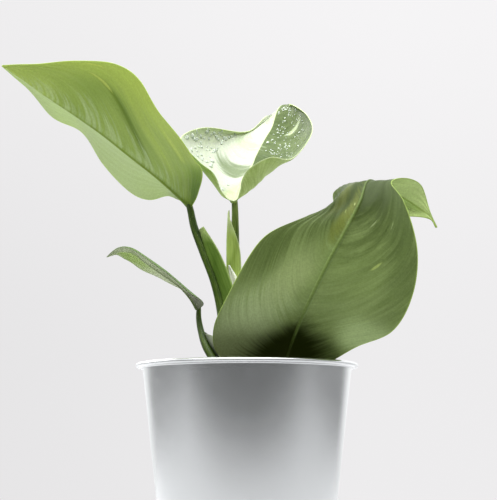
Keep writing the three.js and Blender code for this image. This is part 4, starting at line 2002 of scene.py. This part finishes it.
FRONT_SKIN = LeafSkin(
    name="leaf_olive",
    under_dark=(0.145, 0.205, 0.060),
    under_light=(0.205, 0.275, 0.094),
    over_dark=(0.10, 0.18, 0.035),
    over_light=(0.19, 0.29, 0.070),
    glow=(0.45, 0.55, 0.06),
    margin=(0.32, 0.44, 0.10),
    rib=(0.115, 0.17, 0.042),
    glow_share=0.15,
    gloss=0.12,
    specks=0.85,
    # Painted light: over the folded-over tip, the upper face is painted a bright yellow-green for
    # the light that shines through it from above and behind.
    over_patches=(Patch(ALONG, 1.0, 0.0, 0.36, 2.2, (0.60, 0.74, 0.30), 0.95, 0.25, 0.2),),
    under_patches=(
        # Painted shade: a near-black band across the lower face where the blade folds over towards
        # its tip.
        Patch(ALONG, 0.63, 0.0, 0.18, 1.6, (0.024, 0.040, 0.004), 0.92, 0.55, 0.2),
        # Painted light: the right basal lobe of the lower face is lightened where little light
        # reaches it.
        Patch(ALONG, 0.21, 0.78, 0.12, 0.46, (0.46, 0.57, 0.28), 0.9, 0.6, 0.3),
        Patch(ALONG, 0.22, -0.86, 0.05, 0.30, (0.36, 0.47, 0.20), 0.8, 0.5, 0.3),
        Patch(ALONG, 0.43, -0.85, 0.15, 0.22, (0.07, 0.105, 0.028), 0.6, 0.7, 0.3),
        # Painted sheen: a pale patch right of the midrib, about a third of the way up.
        Patch(ALONG, 0.34, 0.36, 0.06, 0.22, (0.31, 0.38, 0.16), 0.6, 0.8, 0.3),
        # Painted shade: a darker patch near the right margin, part way up.
        Patch(ALONG, 0.43, 0.80, 0.05, 0.22, (0.07, 0.105, 0.025), 0.75, 0.7, 0.3),
        Patch(ALONG, 0.50, 0.10, 0.08, 0.09, (0.16, 0.19, 0.030), 0.6, 0.8, 0.5),
        Patch(ALONG, 0.60, 0.42, 0.07, 0.12, (0.10, 0.12, 0.022), 0.6, 0.8, 0.5),
        Patch(VEIN, 0.525, 0.080, 0.004, 0.016, (0.34, 0.40, 0.14), 0.9, 0.4, 0.2),
        Patch(VEIN, 0.474, 0.17, 0.004, 0.020, (0.24, 0.29, 0.08), 0.8, 0.4, 0.2),
        Patch(VEIN, 0.432, -0.35, 0.003, 0.045, (0.24, 0.30, 0.13), 0.6, 0.4, 0.3),
        Patch(VEIN, 0.36, -0.65, 0.003, 0.03, (0.20, 0.26, 0.10), 0.5, 0.4, 0.3),
        Patch(VEIN, 0.297, -0.51, 0.005, 0.040, (0.34, 0.43, 0.12), 0.8, 0.4, 0.3),
        # Painted shade: the base of the lower face, just above the pot's rim, is almost black.
        Patch(ALONG, 0.0, 0.06, 0.180, 1.20, (0.004, 0.006, 0.002), 0.98, 0.24, 0.1),
    ),
)

LOW_LEFT_SKIN = LeafSkin(
    name="leaf_pale",
    under_dark=(0.26, 0.32, 0.17),
    under_light=(0.40, 0.46, 0.28),
    over_dark=(0.10, 0.18, 0.05),
    over_light=(0.20, 0.30, 0.10),
    glow=(0.45, 0.55, 0.12),
    # Painted shade: a dark grey-green margin, for the shaded edge of the folded blade seen
    # edge-on.
    margin=(0.14, 0.18, 0.09),
    rib=(0.15, 0.20, 0.08),
    glow_share=0.1,
    roughness=0.6,
    gloss=0.1,
    fineness=0.3,
    under_patches=(
        Patch(ALONG, 0.5, 0.6, 0.5, 0.6, (0.44, 0.51, 0.30), 0.8, 0.4, 0.4),
        Patch(ALONG, 0.68, 0.55, 0.17, 0.5, (0.25, 0.37, 0.075), 0.9, 0.5, 0.4),
        # Painted shade: the left basal lobe is a dark grey.
        Patch(ALONG, 0.05, -0.5, 0.2, 0.6, (0.16, 0.17, 0.12), 0.8, 0.5, 0.3),
    ),
)

LEAVES = (
    Leaf("blade_upper_left", "leaf_fresh_green", LeafBlade(UPPER_LEFT_SHEET), UPPER_LEFT_SKIN),
    Leaf(
        "blade_centre",
        "leaf_variegated",
        LeafBlade(CENTRE_SHEET, right_sweep=0.27, wave=0.0003),
        CENTRE_SKIN,
    ),
    Leaf(
        "blade_front",
        "leaf_deep_green",
        LeafBlade(FRONT_SHEET, left_sweep=0.25, rib_height=0.0013, rib_width=0.0013),
        FRONT_SKIN,
    ),
    Leaf(
        "blade_low_left",
        "leaf_pale_green",
        LeafBlade(LOW_LEFT_SHEET, rib_height=0.0009, rib_width=0.0013, wave=0.0002, rows=120),
        LOW_LEFT_SKIN,
    ),
)

SHEATH_SKIN = SheathSkin(
    name="sheath_fresh",
    dark=(0.075, 0.145, 0.016),
    light=(0.17, 0.27, 0.045),
    edge=(0.42, 0.52, 0.20),
    glow=(0.50, 0.66, 0.06),
    foot=(0.06, 0.115, 0.012),
)
SHEATH_YELLOW = SheathSkin(
    name="sheath_yellow",
    dark=(0.27, 0.37, 0.07),
    light=(0.55, 0.68, 0.20),
    edge=(0.66, 0.74, 0.42),
    glow=(0.65, 0.78, 0.16),
    # Painted light: the foot tone is a near-white yellow-green that lightens the lower part of the
    # sheath.
    foot=(0.90, 0.98, 0.40),
)
SHEATH_DARK = SheathSkin(
    name="sheath_dark",
    dark=(0.010, 0.019, 0.004),
    light=(0.030, 0.050, 0.010),
    edge=(0.36, 0.40, 0.28),
    glow=(0.08, 0.13, 0.02),
    foot=(0.015, 0.028, 0.005),
    tip_fade=0.55,
)
SCALE_SKIN = SheathSkin(
    name="scale_dry",
    dark=(0.78, 0.80, 0.66),
    light=(0.95, 0.95, 0.90),
    edge=(0.96, 0.96, 0.93),
    glow=(0.90, 0.90, 0.80),
    foot=(0.60, 0.68, 0.30),
    glow_share=0.45,
)
SHEATH_STATIONS = Stations(between=14)

SHEATHS = (
    Sheath(
        "sheath_upper_left", "sheath_green",
        Shell(UPPER_LEFT_SHEATH, 0.0007, 110, SHEATH_STATIONS), SHEATH_SKIN,
    ),
    Sheath(
        "sheath_centre", "sheath_green",
        Shell(CENTRE_SHEATH, 0.0007, 110, SHEATH_STATIONS), SHEATH_YELLOW,
    ),
    Sheath(
        "sheath_low_left", "sheath_green",
        Shell(LOW_LEFT_SHEATH, 0.0007, 70, SHEATH_STATIONS), SHEATH_DARK,
    ),
    Sheath(
        "scale_leaf", "dry_scale",
        Shell(SCALE_LEAF, 0.0006, 90, SHEATH_STATIONS), SCALE_SKIN,
    ),
)


def main() -> None:
    """Builds the sub-assemblies in order, from the pot up, and then the stage."""
    logging.basicConfig(level=logging.INFO, format="%(name)s: %(message)s")
    Pot().build()
    SoilBed().build()
    Stem().build()
    for petiole in PETIOLES:
        petiole.build()
    for sheath in SHEATHS:
        sheath.build()
    for leaf in LEAVES:
        leaf.build()
    WaterDrops(LEAVES[1].blade).build()
    Studio().build()


if __name__ == "__main__":
    main()
